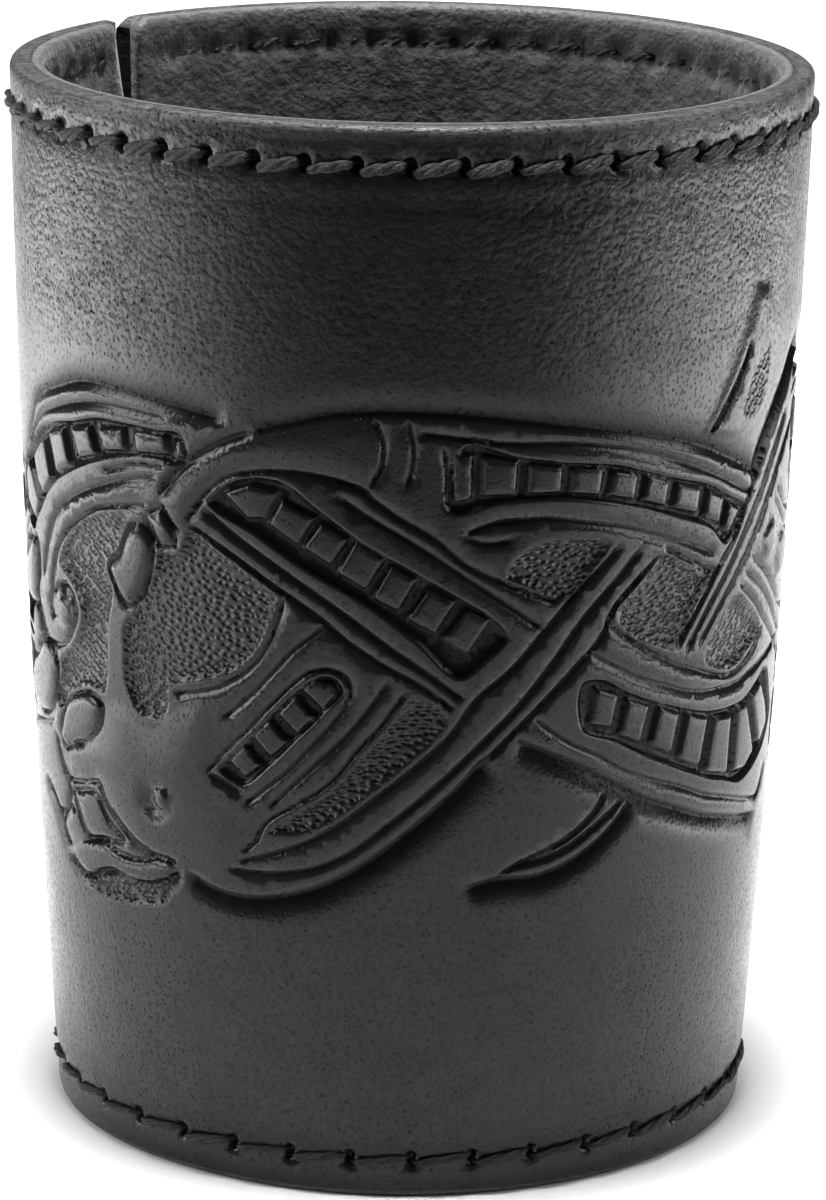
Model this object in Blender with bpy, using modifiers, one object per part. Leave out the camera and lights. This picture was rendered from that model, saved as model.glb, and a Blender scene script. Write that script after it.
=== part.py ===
"""Leather dice cup: a lined, tooled leather wall rolled into a tapered tube, closed by a butt seam,
with a wet-moulded leather base sewn in near the foot. Metres, +Z up, origin at the centre of the
foot, and the tooled front faces -Y.
"""

import math

import bmesh
import bpy
from mathutils import Matrix, Vector

MM = 0.001

# Driving dimensions, all in millimetres unless the name says degrees.
HEIGHT = 100.0
RIM_RADIUS = 37.4
FOOT_RADIUS = 33.2
BULGE = 0.6  # how far the wall swells past a straight cone, half-way up
WALL = 1.8  # tooled outer leather
LINING = 1.1  # suede lining
BASE = 2.0  # base leather, both its floor and its turned-down flange
PAD = 1.2  # suede pad on the floor
FLANGE_DEPTH = 8.0  # from the floor's top face down to the flange's edge
FLANGE_LIFT = 0.5  # the flange stops this far above the table
GAP = 0.3  # clearance between pieces that touch
EDGE = 0.35  # bevel that the edge tool takes off each exposed corner
RING_SEGMENTS = 60
WALL_RINGS = 4

# The side seam stands behind and to the left. Its edges meet on the outside, and the left-hand
# edge is skived, so a V opens towards the inside, wider at the rim than at the foot.
SEAM_DEGREES = 141.2  # from +X towards +Y
SLIT = 0.3
RIM_SKIVE = 3.2
FOOT_SKIVE = 0.7

# The rim row is sewn while the leather is flat, so it starts and ends beside the seam.
RIM_HOLES = 49
RIM_ROW_DOWN = 3.7  # below the rim
RIM_ROW_START = 4.25  # along the wall, from the seam to the first hole
RIM_ROW_END = 5.5  # and from the last hole to the seam
RIM_THREAD = 1.0

# The base row is sewn after the base goes in, all the way around and across the seam.
BASE_HOLES = 37
BASE_ROW_UP = 3.6  # above the table
BASE_ROW_START = 2.2
BASE_THREAD = 0.8

# The seam is whipped from the inside: each stitch comes up through the flesh side, crosses inside
# the thickness of the leather, and goes back down through the other edge.
SEAM_HOLES = 12
SEAM_THREAD = 0.8
SEAM_TOP_DOWN = 13.0  # highest stitch, below the rim
SEAM_FOOT_UP = 15.0  # lowest stitch, above the table
SEAM_REACH = 3.2  # from the seam to where the thread leaves the flesh side
SEAM_SKIN = 1.1  # how deep below the tooled surface the thread crosses

# Depths of the layers below the outer surface.
LINING_DEPTH = WALL + GAP
INSIDE_DEPTH = LINING_DEPTH + LINING
FLANGE_DEPTH_OUT = INSIDE_DEPTH + GAP
FLANGE_DEPTH_IN = FLANGE_DEPTH_OUT + BASE
FLOOR_TOP = FLANGE_LIFT + FLANGE_DEPTH
PAD_BOTTOM = FLOOR_TOP + GAP


def clear_scene():
    for obj in list(bpy.data.objects):
        bpy.data.objects.remove(obj, do_unlink=True)


def make_collection(name):
    collection = bpy.data.collections.new(name)
    bpy.context.scene.collection.children.link(collection)
    return collection


def make_material(name, colour, roughness):
    material = bpy.data.materials.new(name)
    material.use_nodes = True
    shader = material.node_tree.nodes["Principled BSDF"]
    shader.inputs["Base Color"].default_value = (*colour, 1.0)
    shader.inputs["Roughness"].default_value = roughness
    shader.inputs["Metallic"].default_value = 0.0
    return material


def outer_radius(height):
    """Radius of the tooled surface at this height."""
    share = height / HEIGHT
    return FOOT_RADIUS + (RIM_RADIUS - FOOT_RADIUS) * share + BULGE * 4 * share * (1 - share)


def spread(first, last, count):
    """Evenly spaced values from first to last."""
    return [first + (last - first) * step / (count - 1) for step in range(count)]


def wrapped(angle, radius, height):
    """Point in metres at an angle around the cup, in radians."""
    return Vector((radius * math.cos(angle), radius * math.sin(angle), height)) * MM


def beside_seam(across, radius, height):
    """Point in metres at the seam, where across runs along the wall towards the cup's front."""
    angle = math.radians(SEAM_DEGREES)
    out = Vector((math.cos(angle), math.sin(angle), 0))
    along = Vector((-math.sin(angle), math.cos(angle), 0))
    return (out * radius + along * across + Vector((0, 0, height))) * MM


def add_object(name, data, collection, material=None):
    obj = bpy.data.objects.new(name, data)
    collection.objects.link(obj)
    if material is not None:
        data.materials.append(material)
    return obj


def add_turned(name, profile, collection, material):
    """Solid of revolution from a profile of (radius, height) that runs down its outer side."""
    mesh = bpy.data.meshes.new(name)
    points = [Vector((radius, 0, height)) * MM for radius, height in profile]
    edges = [(index, index + 1) for index in range(len(points) - 1)]
    if profile[0][0] > 0:
        edges.append((len(points) - 1, 0))
    mesh.from_pydata(points, edges, [])
    obj = add_object(name, mesh, collection, material)
    turn = obj.modifiers.new("Turn", "SCREW")
    turn.angle = math.tau
    turn.axis = "Z"
    turn.steps = RING_SEGMENTS
    turn.render_steps = RING_SEGMENTS
    turn.use_merge_vertices = True
    turn.merge_threshold = 0.00001
    turn.use_smooth_shade = False
    return obj


def add_cutter(name, mesh, collection):
    obj = add_object(name, mesh, collection)
    obj.hide_render = True
    obj.display_type = "WIRE"
    return obj


def add_slots(name, collection, middles, size):
    """One cutter of many boxes. Each middle is a matrix in metres, and size is in millimetres."""
    frame = bmesh.new()
    for middle in middles:
        scale = Matrix.Diagonal(Vector((*size, 1.0))) @ Matrix.Scale(MM, 4)
        scale[3][3] = 1.0
        bmesh.ops.create_cube(frame, size=1.0, matrix=middle @ scale)
    mesh = bpy.data.meshes.new(name)
    frame.to_mesh(mesh)
    frame.free()
    return add_cutter(name, mesh, collection)


def cut(obj, cutter):
    boolean = obj.modifiers.new(cutter.name, "BOOLEAN")
    boolean.operation = "DIFFERENCE"
    boolean.solver = "EXACT"
    boolean.object = cutter


def wall_profile(outside, inside, outer_edge, inner_edge):
    """Closed profile of a full-height layer between two depths, with its corners taken off."""
    heights = spread(HEIGHT, 0.0, WALL_RINGS + 1)
    profile = [(outer_radius(HEIGHT) - outside - outer_edge, HEIGHT)]
    for height in heights:
        height = min(max(height, outer_edge), HEIGHT - outer_edge)
        profile.append((outer_radius(height) - outside, height))
    profile.append((outer_radius(0.0) - outside - outer_edge, 0.0))
    profile.append((outer_radius(0.0) - inside + inner_edge, 0.0))
    for height in reversed(heights):
        height = min(max(height, inner_edge), HEIGHT - inner_edge)
        profile.append((outer_radius(height) - inside, height))
    profile.append((outer_radius(HEIGHT) - inside + inner_edge, HEIGHT))
    return [point for index, point in enumerate(profile) if point != profile[index - 1]]


def base_profile():
    """The base: a flat floor whose rim turns down to lie against the lining."""
    floor = outer_radius(FLOOR_TOP) - FLANGE_DEPTH_OUT
    foot = outer_radius(FLANGE_LIFT) - FLANGE_DEPTH_OUT
    under = FLOOR_TOP - BASE
    return [
        (0.0, FLOOR_TOP),
        (floor - EDGE, FLOOR_TOP),
        (floor, FLOOR_TOP - EDGE),
        (foot, FLANGE_LIFT),
        (foot - BASE, FLANGE_LIFT),
        (outer_radius(under) - FLANGE_DEPTH_IN, under),
        (0.0, under),
    ]


def pad_profile():
    radius = outer_radius(PAD_BOTTOM) - INSIDE_DEPTH - GAP
    return [
        (0.0, PAD_BOTTOM + PAD),
        (radius - EDGE, PAD_BOTTOM + PAD),
        (radius, PAD_BOTTOM + PAD - EDGE),
        (radius, PAD_BOTTOM),
        (0.0, PAD_BOTTOM),
    ]


def add_seam_wedge(collection):
    """Five-sided wedge: one face square to the wall, the other skived back towards the inside."""
    reach = 2.0
    frame = bmesh.new()
    bmesh.ops.create_cone(frame, cap_ends=True, segments=5, radius1=1.0, radius2=1.0, depth=1.0)
    for end, height, beyond, skive in (
        (-1, 0.0, -1.0, FOOT_SKIVE),
        (1, HEIGHT, HEIGHT + 1.0, RIM_SKIVE),
    ):
        surface = outer_radius(height)
        inner = surface - INSIDE_DEPTH - reach
        slope = (skive - SLIT / 2) / INSIDE_DEPTH
        section = [
            (-SLIT / 2, inner),
            (-SLIT / 2, surface + reach),
            (SLIT / 2, surface + reach),
            (SLIT / 2, surface),
            (SLIT / 2 + slope * (surface - inner), inner),
        ]
        ring = [vertex for vertex in frame.verts if vertex.co.z * end > 0]
        ring.sort(key=lambda vertex: math.atan2(vertex.co.y, vertex.co.x))
        for vertex, (across, radius) in zip(ring, section):
            vertex.co = beside_seam(across, radius, beyond)
    mesh = bpy.data.meshes.new("seam_wedge")
    frame.to_mesh(mesh)
    frame.free()
    return add_cutter("seam_wedge", mesh, collection)


def row_angles(height, count, start, end):
    """Angles of a row of holes, from beside the seam around the front and back to it."""
    radius = outer_radius(height)
    seam = math.radians(SEAM_DEGREES)
    return spread(seam + start / radius, seam + math.tau - end / radius, count)


def add_row_slots(name, collection, angles, height, depth, thread):
    """Slots for one row: each passes two strands of thread, one above the other."""
    reach = 1.0
    middle = outer_radius(height) - depth / 2
    size = (depth + 2 * reach, thread + 2 * GAP, 2 * thread + 3 * GAP)
    middles = [
        Matrix.Translation(wrapped(angle, middle, height)) @ Matrix.Rotation(angle, 4, "Z")
        for angle in angles
    ]
    return add_slots(name, collection, middles, size)


def add_thread(name, points, thickness, collection, material):
    curve = bpy.data.curves.new(name, "CURVE")
    curve.dimensions = "3D"
    curve.bevel_depth = thickness / 2 * MM
    curve.bevel_resolution = 0
    curve.use_fill_caps = True
    curve.twist_mode = "MINIMUM"
    spline = curve.splines.new("POLY")
    spline.points.add(len(points) - 1)
    for target, point in zip(spline.points, points):
        target.co = (*point, 1.0)
    return add_object(name, curve, collection, material)


def saddle_stitch(angles, height, depth, thread, closed):
    """The whole path of one saddle-stitched thread, whose middle lies in the first hole.

    A stitch outside climbs from the lower place in its hole to the upper place in the next. The
    one under it, inside the cup, falls back down. The halves of the thread take turns.
    """
    low = height - (thread + GAP) / 2
    high = height + (thread + GAP) / 2
    corner = thread / 2

    def skin(side, level):
        """Radius of the thread's middle, outside the cup for side 1 and inside it for -1."""
        surface = outer_radius(level)
        clear = GAP + thread / 2 + 0.05
        return surface + clear if side > 0 else surface - depth - clear

    def stitch(side, this, following, rise):
        start = low if rise[0] < 0 else high
        end = low if rise[1] < 0 else high
        out_of = skin(side, start)
        into = skin(side, end)
        swell = corner / outer_radius(height)
        return [
            wrapped(this, out_of - side * (clearance + corner), start),
            wrapped(this + swell, out_of, start),
            wrapped(following - swell, into, end),
            wrapped(following, into - side * (clearance + corner), end),
        ]

    clearance = GAP
    stops = list(angles)
    if closed:
        stops.append(angles[0] + math.tau)
    halves = []
    for first_side in (1, -1):
        path = []
        for index in range(len(stops) - 1):
            side = first_side if index % 2 == 0 else -first_side
            rise = (-1, 1) if side > 0 else (1, -1)
            if index == 0:
                rise = (-1, rise[1])
            path += stitch(side, stops[index], stops[index + 1], rise)
        last_inside = side < 0
        if last_inside and closed:
            short = 2 * (thread + GAP) / outer_radius(height)
            path[-2:] = [wrapped(stops[-1] - short, skin(-1, low), low)]
        elif not last_inside:
            path.append(wrapped(stops[-1], outer_radius(height) - depth - thread, high))
        halves.append(path)
    outward, inward = halves
    return list(reversed(inward)) + outward


def seam_levels():
    return spread(SEAM_FOOT_UP, HEIGHT - SEAM_TOP_DOWN, SEAM_HOLES)


def seam_section(level):
    """Section of one whip stitch: how high it crosses, how steeply it falls, and how far."""
    crossing = outer_radius(level) - SEAM_SKIN - SEAM_THREAD / 2
    flesh = outer_radius(level) - INSIDE_DEPTH
    fall = crossing - math.sqrt(flesh**2 - SEAM_REACH**2)
    return crossing, math.atan2(fall, SEAM_REACH), math.hypot(fall, SEAM_REACH)


def add_seam_slots(collection):
    """Roof-shaped holes: up from the flesh side, across the open V, and down on the other side."""
    bore = SEAM_THREAD + 2 * GAP
    slots = bmesh.new()
    for level in seam_levels():
        crossing, slant, length = seam_section(level)
        reach = 2 * (length * math.cos(slant) + bore)
        box = bmesh.new()
        size = Matrix.Diagonal(Vector((reach, bore / math.cos(slant), bore, 1.0)))
        bmesh.ops.create_cube(box, size=1.0, matrix=size)
        long_edges = [edge for edge in box.edges if edge.calc_length() > reach / 2]
        bmesh.ops.subdivide_edges(box, edges=long_edges, cuts=1)
        for vertex in box.verts:
            across, rise, up = vertex.co
            radius = crossing + rise - abs(across) * math.tan(slant)
            vertex.co = beside_seam(-across, radius, level + up)
        piece = bpy.data.meshes.new("seam_slot")
        box.to_mesh(piece)
        box.free()
        slots.from_mesh(piece)
        bpy.data.meshes.remove(piece)
    mesh = bpy.data.meshes.new("seam_slots")
    slots.to_mesh(mesh)
    slots.free()
    return add_cutter("seam_slots", mesh, collection)


def whip_stitch():
    """Path of the seam thread: it crosses inside the leather and climbs slantwise on the lining."""
    path = []
    clear = GAP + SEAM_THREAD / 2
    for level in seam_levels():
        crossing, slant, length = seam_section(level)
        foot = length + clear / math.sin(slant)
        for side, along in ((-1, foot), (-1, GAP), (1, GAP), (1, foot)):
            across = side * along * math.cos(slant)
            path.append(beside_seam(across, crossing - along * math.sin(slant), level))
    return path


def main():
    clear_scene()
    parts = make_collection("leather_dice_cup")
    cutters = make_collection("cutters")

    tooled = make_material("tooled_leather", (0.012, 0.012, 0.013), 0.36)
    suede = make_material("suede", (0.030, 0.030, 0.031), 0.92)
    base_leather = make_material("base_leather", (0.014, 0.014, 0.015), 0.5)
    waxed = make_material("waxed_thread", (0.016, 0.016, 0.017), 0.5)

    outer_wall = add_turned("outer_wall", wall_profile(0.0, WALL, EDGE, 0.0), parts, tooled)
    wall_lining = add_turned(
        "wall_lining", wall_profile(LINING_DEPTH, INSIDE_DEPTH, 0.0, EDGE), parts, suede
    )
    base_disc = add_turned("base_disc", base_profile(), parts, base_leather)
    add_turned("base_pad", pad_profile(), parts, suede)

    rim_row = HEIGHT - RIM_ROW_DOWN
    rim_angles = row_angles(rim_row, RIM_HOLES, RIM_ROW_START, RIM_ROW_END)
    base_pitch = math.tau * outer_radius(BASE_ROW_UP) / BASE_HOLES
    base_angles = row_angles(BASE_ROW_UP, BASE_HOLES, BASE_ROW_START, base_pitch - BASE_ROW_START)

    seam_wedge = add_seam_wedge(cutters)
    rim_slots = add_row_slots("rim_slots", cutters, rim_angles, rim_row, INSIDE_DEPTH, RIM_THREAD)
    base_slots = add_row_slots(
        "base_slots", cutters, base_angles, BASE_ROW_UP, FLANGE_DEPTH_IN, BASE_THREAD
    )
    seam_slots = add_seam_slots(cutters)
    for layer in (outer_wall, wall_lining):
        for cutter in (seam_wedge, rim_slots, base_slots, seam_slots):
            cut(layer, cutter)
    cut(base_disc, base_slots)

    add_thread(
        "rim_thread",
        saddle_stitch(rim_angles, rim_row, INSIDE_DEPTH, RIM_THREAD, closed=False),
        RIM_THREAD,
        parts,
        waxed,
    )
    add_thread(
        "base_thread",
        saddle_stitch(base_angles, BASE_ROW_UP, FLANGE_DEPTH_IN, BASE_THREAD, closed=True),
        BASE_THREAD,
        parts,
        waxed,
    )
    add_thread("seam_thread", whip_stitch(), SEAM_THREAD, parts, waxed)


main()
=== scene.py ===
# %% [markdown]
# A hand-sewn leather dice cup: a tooled black outer wall, a suede lining, a sewn-in base with a
# suede pad, and three waxed threads that hold it together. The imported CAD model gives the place
# and size of every piece, and the pieces below are dressed around it.

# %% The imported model
import math

import bpy
import numpy as np
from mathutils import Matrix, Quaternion, Vector, geometry


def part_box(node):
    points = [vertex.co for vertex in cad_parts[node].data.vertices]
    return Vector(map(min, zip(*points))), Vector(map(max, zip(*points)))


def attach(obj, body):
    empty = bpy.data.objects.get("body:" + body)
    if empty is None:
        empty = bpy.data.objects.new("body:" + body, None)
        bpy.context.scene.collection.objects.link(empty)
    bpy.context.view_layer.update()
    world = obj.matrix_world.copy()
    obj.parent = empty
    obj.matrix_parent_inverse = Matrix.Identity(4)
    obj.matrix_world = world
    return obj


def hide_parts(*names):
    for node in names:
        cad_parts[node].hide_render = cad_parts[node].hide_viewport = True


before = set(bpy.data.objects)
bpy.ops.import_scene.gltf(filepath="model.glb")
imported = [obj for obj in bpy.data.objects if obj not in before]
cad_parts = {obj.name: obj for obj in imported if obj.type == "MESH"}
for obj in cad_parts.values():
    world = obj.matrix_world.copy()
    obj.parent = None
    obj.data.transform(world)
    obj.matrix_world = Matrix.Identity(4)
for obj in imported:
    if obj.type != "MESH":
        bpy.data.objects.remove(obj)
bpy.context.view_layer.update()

MM = 0.001
print("CAD nodes:", sorted(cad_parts))

# %% [markdown]
# The cup is a cone that swells a little half-way up. One formula gives its outer radius at any
# height, so the wall, the lining and the stitches all agree. The leather's own layout is a flat
# sheet: u runs around the cup in millimetres from the front, to the right, and v runs upwards.

# %% The cup's shape
HEIGHT = 100.0
RIM_RADIUS, FOOT_RADIUS, BULGE = 37.4, 33.2, 0.6
WALL_IN, LINING_IN, FLANGE_IN = 2.05, 3.2, 5.5  # depths of inner faces under the tooled surface
SHEET_RADIUS = 36.0
ROUND = math.tau * SHEET_RADIUS
SEAM_U = -128.8 / 360 * ROUND


def outer_radius(height):
    share = height / HEIGHT
    return FOOT_RADIUS + (RIM_RADIUS - FOOT_RADIUS) * share + BULGE * 4 * share * (1 - share)


def on_cup(u, v, depth):
    """Points in metres, for places on the flat sheet at a depth under the tooled surface."""
    turn = np.asarray(u) / SHEET_RADIUS
    radius = outer_radius(np.asarray(v)) - depth
    return np.stack([radius * np.sin(turn), -radius * np.cos(turn), np.asarray(v) + 0 * turn], -1) * MM


_, wall_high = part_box("outer_wall")
print(f"rim {outer_radius(HEIGHT):.1f} mm out")
print(f"CAD wall {wall_high.x / MM:.1f} mm out and {wall_high.z / MM:.1f} mm up")

# %% [markdown]
# The ornament is carved and stamped in the damp leather before the wall is sewn. A swivel knife
# cuts the lines, a beveller presses the ground down beside the outlines, and a matting tool
# roughens the low places. Each tool gets its own list of curves on the flat sheet.

# %% Curves on the sheet
def smooth_line(points, step=0.38, closed=False):
    """A smooth curve through a few given points, as closely set points."""
    p = np.array(points, float)
    if closed:
        p = np.vstack([p[-2:], p, p[:2]])
    length = np.concatenate([[0], np.cumsum(np.hypot(*np.diff(p, axis=0).T))])
    slope = np.gradient(p, length, axis=0)
    out = []
    first, last = (2, len(p) - 2) if closed else (0, len(p) - 1)
    for i in range(first, last):
        span = length[i + 1] - length[i]
        count = max(int(round(span / step)), 1)
        t = (np.arange(count) / count)[:, None]
        out.append((2 * t**3 - 3 * t**2 + 1) * p[i] + (t**3 - 2 * t**2 + t) * span * slope[i]
                   + (3 * t**2 - 2 * t**3) * p[i + 1] + (t**3 - t**2) * span * slope[i + 1])
    out.append(p[last][None])
    return np.vstack(out)


def straight_line(points, step=0.5, closed=False):
    """The same for a line with corners."""
    p = np.array(points + points[:1] if closed else points, float)
    out = []
    for a, b in zip(p[:-1], p[1:]):
        count = max(int(round(np.hypot(*(b - a)) / step)), 1)
        out.append(a + (b - a) * (np.arange(count) / count)[:, None])
    out.append(p[-1:])
    return np.vstack(out)


def side_row(line, offset):
    """A row of points beside a line, to its left for a positive offset."""
    slope = np.gradient(line, axis=0)
    slope /= np.maximum(np.hypot(*slope.T), 1e-9)[:, None]
    return line + offset * np.stack([-slope[:, 1], slope[:, 0]], -1)


# %% [markdown]
# A swivel knife is pulled along every line of the drawing, so each cut is one free curve. The
# curves are given as (u, v) places in millimetres, a few to each curve.

# %% Swivel-knife lines
KNIFE_LINES = [
    # band at the upper left, with the curl at its end
    [(-46.4, 65.1), (-44.4, 67.2), (-42.3, 68.9), (-38.8, 70.4), (-35.5, 71.4), (-32.9, 72),
     (-29.6, 72.3), (-22.6, 72.2)],
    [(-30.8, 66), (-27, 67.2), (-22.9, 67.6)],
    [(-23.8, 66.6), (-27.9, 65.7), (-31.4, 64.5), (-35.5, 62.8), (-38.8, 60.7), (-40.8, 58.4),
     (-42.3, 55.4), (-43.2, 53.4)],
    [(-24.9, 63.9), (-28.5, 63.2), (-31.4, 62.5), (-34.4, 61), (-37.3, 58.9), (-39.4, 56.6),
     (-40.5, 54.2), (-41.1, 51.9), (-41.6, 51.1), (-41, 50.1), (-40.4, 50)],
    [(-45, 56.6), (-44.6, 54.8), (-45, 50.1), (-43.9, 48.2), (-42.2, 47.3), (-40.1, 47.4),
     (-37.8, 48.5), (-36.4, 50.2), (-36, 51), (-36.4, 52.8), (-37.9, 53.8), (-39.4, 53.4), (-40.4, 52.2)],
    [(-45.2, 56.4), (-47.5, 55.9), (-50, 55.4)],
    [(-45, 50.2), (-47.5, 49.6), (-50, 48.9)],
    [(-43.8, 46.9), (-46.5, 45), (-50, 43.4)],
    [(-42, 39.6), (-45, 38.7), (-50, 37.6)],
    # crest over the crossing, and its collar
    [(-19.9, 64.1), (-19.3, 65.1), (-17.8, 66.6), (-16.1, 67.8), (-13.7, 68.5), (-10.8, 68.8),
     (-7.5, 68.6), (-4.6, 67.9), (-2.8, 66.9)],
    [(-3.1, 74.2), (-2.1, 72.2), (-2.1, 70.1), (-3.1, 67.8)],
    [(0, 74.2), (0.6, 71), (0.1, 67.8)],
    [(3.2, 71.6), (3.5, 69.2), (3.6, 65.7)],
    [(-23.5, 64.5), (-22.4, 62.9), (-21, 61.7)],
    [(-20.3, 63.3), (-19.5, 64.4), (-18.5, 65.3)],
    # band at the upper right
    [(1, 72.8), (5.4, 72.2), (8, 71.8), (15.4, 71.3), (20.6, 70.3), (25.6, 68.8), (30, 67), (34.5, 65),
     (37.7, 63.5)],
    [(8, 64.4), (12.4, 64.7), (15.9, 64.1), (20, 63.2), (24.5, 61.8), (28.6, 60.3), (32.1, 58.8)],
    [(25.1, 60.6), (28.6, 58.8), (31.5, 57.4)],
    [(5.1, 63.5), (7.8, 64.5), (11.3, 64.7)],
    [(5.1, 63.5), (6.6, 62.7), (7.8, 62.6), (9.6, 63)],
    # first diagonal band
    [(-3.7, 67.2), (-0.5, 65), (2.5, 63.2), (5.4, 60.7), (8.4, 59.1), (13.9, 56.7)],
    [(-6.1, 66.9), (-3.4, 65.1), (1, 62.5), (5.4, 59.5), (9.2, 56.9), (12.5, 54.5)],
    [(-18.7, 64.5), (-15.2, 62.2), (-10.8, 59.5), (-4.9, 55.7), (-0.5, 52.5), (1.6, 51.1), (5.4, 48.2)],
    [(-20.2, 62.8), (-16.6, 61), (-12.2, 58.4), (-7.8, 55.7), (-4.9, 53.4), (-1.1, 51), (1, 49.9),
     (4.5, 47.3)],
    # second diagonal band, which lies over the first
    [(6.4, 41.2), (10, 44.8), (12.2, 46.9), (15.8, 50.4), (18.7, 53.4), (19.5, 55.3), (22.1, 57.9),
     (24.8, 60)],
    [(-16.6, 30.8), (-12.2, 31), (-8.7, 31.7), (-5.2, 33.3), (-1.6, 36.1), (2.5, 39.6), (6.9, 43.8),
     (10.7, 47.6), (13.9, 51.5), (16.8, 55.3), (19.8, 58.2), (22.4, 60.9)],
    [(-15.5, 31.7), (-12.2, 32.9), (-9.3, 34.1), (-5.8, 36.1), (-2.8, 38.5), (1, 41.7), (3.9, 44.4),
     (6.6, 48.2), (9.8, 50.9), (12.4, 53.8), (15.4, 57.1), (18.9, 60.3), (20.1, 61.5)],
    # shapes inside the loop
    [(-15.2, 32.6), (-13.7, 34.1), (-13.3, 35.1), (-10.2, 37.6), (-7.5, 39.4), (-5.6, 41.3),
     (-4, 43.5), (-2.2, 45.5), (-0.5, 47.9), (0.4, 49.1)],
    [(-12.4, 37.3), (-9.9, 39.9), (-7.5, 42.3), (-5.2, 44.6), (-3.1, 47.3), (-1.1, 50.2)],
    [(-14.9, 37.3), (-12.8, 39.1), (-10.8, 40.8), (-8.4, 43.5), (-6.4, 45.8), (-5.2, 47.6),
     (-4.7, 49.1), (-5.2, 50.2), (-6.6, 50.8), (-8.4, 50.5), (-9.9, 49.4), (-11.4, 47.9),
     (-12.8, 46.4), (-14.3, 44.6), (-15.8, 43.2), (-17.2, 41.7), (-18.7, 39.9)],
    [(-18.6, 39.8), (-16.8, 39), (-15, 38.2)],
    [(-16.9, 45.2), (-14.3, 47.6), (-12.2, 49.9), (-9.9, 52.5), (-8, 54.1), (-6.9, 55.1)],
    [(-22.2, 46.7), (-19.6, 47.3), (-16.9, 48.3), (-14.9, 49.6), (-13.4, 51.1), (-12.5, 52.5),
     (-11.5, 54.8), (-10.9, 57.3)],
    # band at the lower right
    [(19.1, 54.1), (21.6, 52.5), (24.6, 50.7), (27.5, 49.2), (30.5, 48.1), (33.4, 47), (35.8, 46.4),
     (37.8, 46.6), (39.9, 47.5), (42.8, 49.5)],
    [(17.2, 51.9), (20.2, 50.1), (23.1, 48.6), (26.1, 47.5), (29, 46.4), (31.9, 45.7), (34.9, 45.4),
     (37.8, 45.3), (40.8, 45.7), (45.2, 46.3), (49, 47.2)],
    [(12.1, 46.1), (15.8, 43.4), (18.7, 41.9), (21.6, 40.1), (24.6, 38.8), (29, 37.2), (33.4, 35.4),
     (37.8, 34.1), (42.2, 32.8), (45.8, 32.2), (47.2, 33.4), (48, 34.8)],
    # crescent
    [(10.5, 32), (15.8, 33.4), (18.7, 35.1), (21.9, 37.2)],
    [(9, 31.3), (11.4, 32.5), (14.3, 33.6), (16.6, 34.8), (18.7, 36.6), (19.9, 38.4)],
    # third diagonal band and what leaves it to the right
    [(28.6, 50), (31.5, 53.8), (34.5, 57.1), (37.4, 60.6), (39.8, 63.2), (41.8, 65.6), (45.9, 69.7)],
    [(30.4, 50.3), (33, 53.2), (35.9, 56.2), (38.9, 59.1), (41.8, 62.4), (45.9, 66.2), (49, 68.2)],
    [(27.4, 50.6), (30.4, 54.4), (33, 57.6), (35.4, 60), (37.1, 62.9), (38.6, 65)],
    [(36.8, 54.9), (39.8, 52.9), (42.7, 50.5), (45.6, 48.5), (50.1, 45.2)],
    [(37.7, 56.1), (40.6, 54.4), (43.9, 52), (46.8, 49.6), (50.1, 47.3)],
    [(38.9, 57.3), (42.1, 55.2), (45.6, 52.6), (48.6, 50.5), (53, 49)],
    [(43.9, 61.7), (46.8, 59.6), (49.8, 57.6), (54.5, 56.1)],
    [(44.5, 62.6), (48, 60.2), (51.5, 58.8)],
    # horn
    [(29.8, 70), (31.5, 72.1), (33.3, 74.4), (34.8, 76.5), (35.6, 78.2)],
    # head: brow, mouth and jaw
    [(-38.1, 33.8), (-33.4, 34.4), (-31.9, 32.6), (-29.5, 31), (-32.8, 30.4), (-35.7, 30.1),
     (-37.2, 32), (-38.1, 33.8)],
    [(-36.3, 29.4), (-32.8, 30.1), (-29.8, 29.5), (-26.9, 29.8), (-24.8, 30.4), (-22.5, 30.1)],
    [(-41.6, 38.3), (-40.1, 35.5), (-38.6, 33.2), (-40.1, 31.4), (-41.6, 30.8)],
    [(-40.7, 29.6), (-40.1, 30.8), (-38.4, 32), (-37.8, 31.4)],
    [(-46, 45.3), (-44, 47), (-42, 47), (-40.5, 45.5), (-41, 42.5), (-43, 40.2), (-46, 39.4)],
    [(-40.1, 36.1), (-39.2, 34.9), (-36.3, 35.1), (-32.9, 35.5), (-32.5, 34.6), (-30.1, 32.6),
     (-28.4, 31.4), (-26.9, 30.8), (-22.5, 30.2)],
]
CLOSED_LINES = [
    [(-40.1, 38.6), (-39.7, 40.2), (-38.4, 42.3), (-36.3, 43.6), (-33.6, 44.2), (-32.2, 43.5),
     (-32.3, 42), (-33.4, 40.5), (-35.1, 39.4), (-37.2, 38.5), (-39.2, 37.7)],
    [(-26.1, 62), (-25.1, 61.6), (-24.4, 60.1), (-24.5, 58.6), (-25.1, 56.9), (-26.1, 55.1),
     (-27.4, 53.9), (-28.5, 54.5), (-29.4, 55.7), (-30.1, 57.2), (-29.4, 58.1), (-28.5, 58.9),
     (-27.6, 60.7), (-27, 61.6)],
    [(-24.9, 63), (-23.6, 63.7), (-21.9, 60.6), (-23.3, 60.2)],
]
print(len(KNIFE_LINES) + len(CLOSED_LINES), "knife lines")

# %% [markdown]
# A beveller is struck along the outer outlines and presses the ground down beside them, so that
# the figure stands up. Each row holds the ground's side (1 is left of the line), how far the
# slope runs, its depth and the line.

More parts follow.
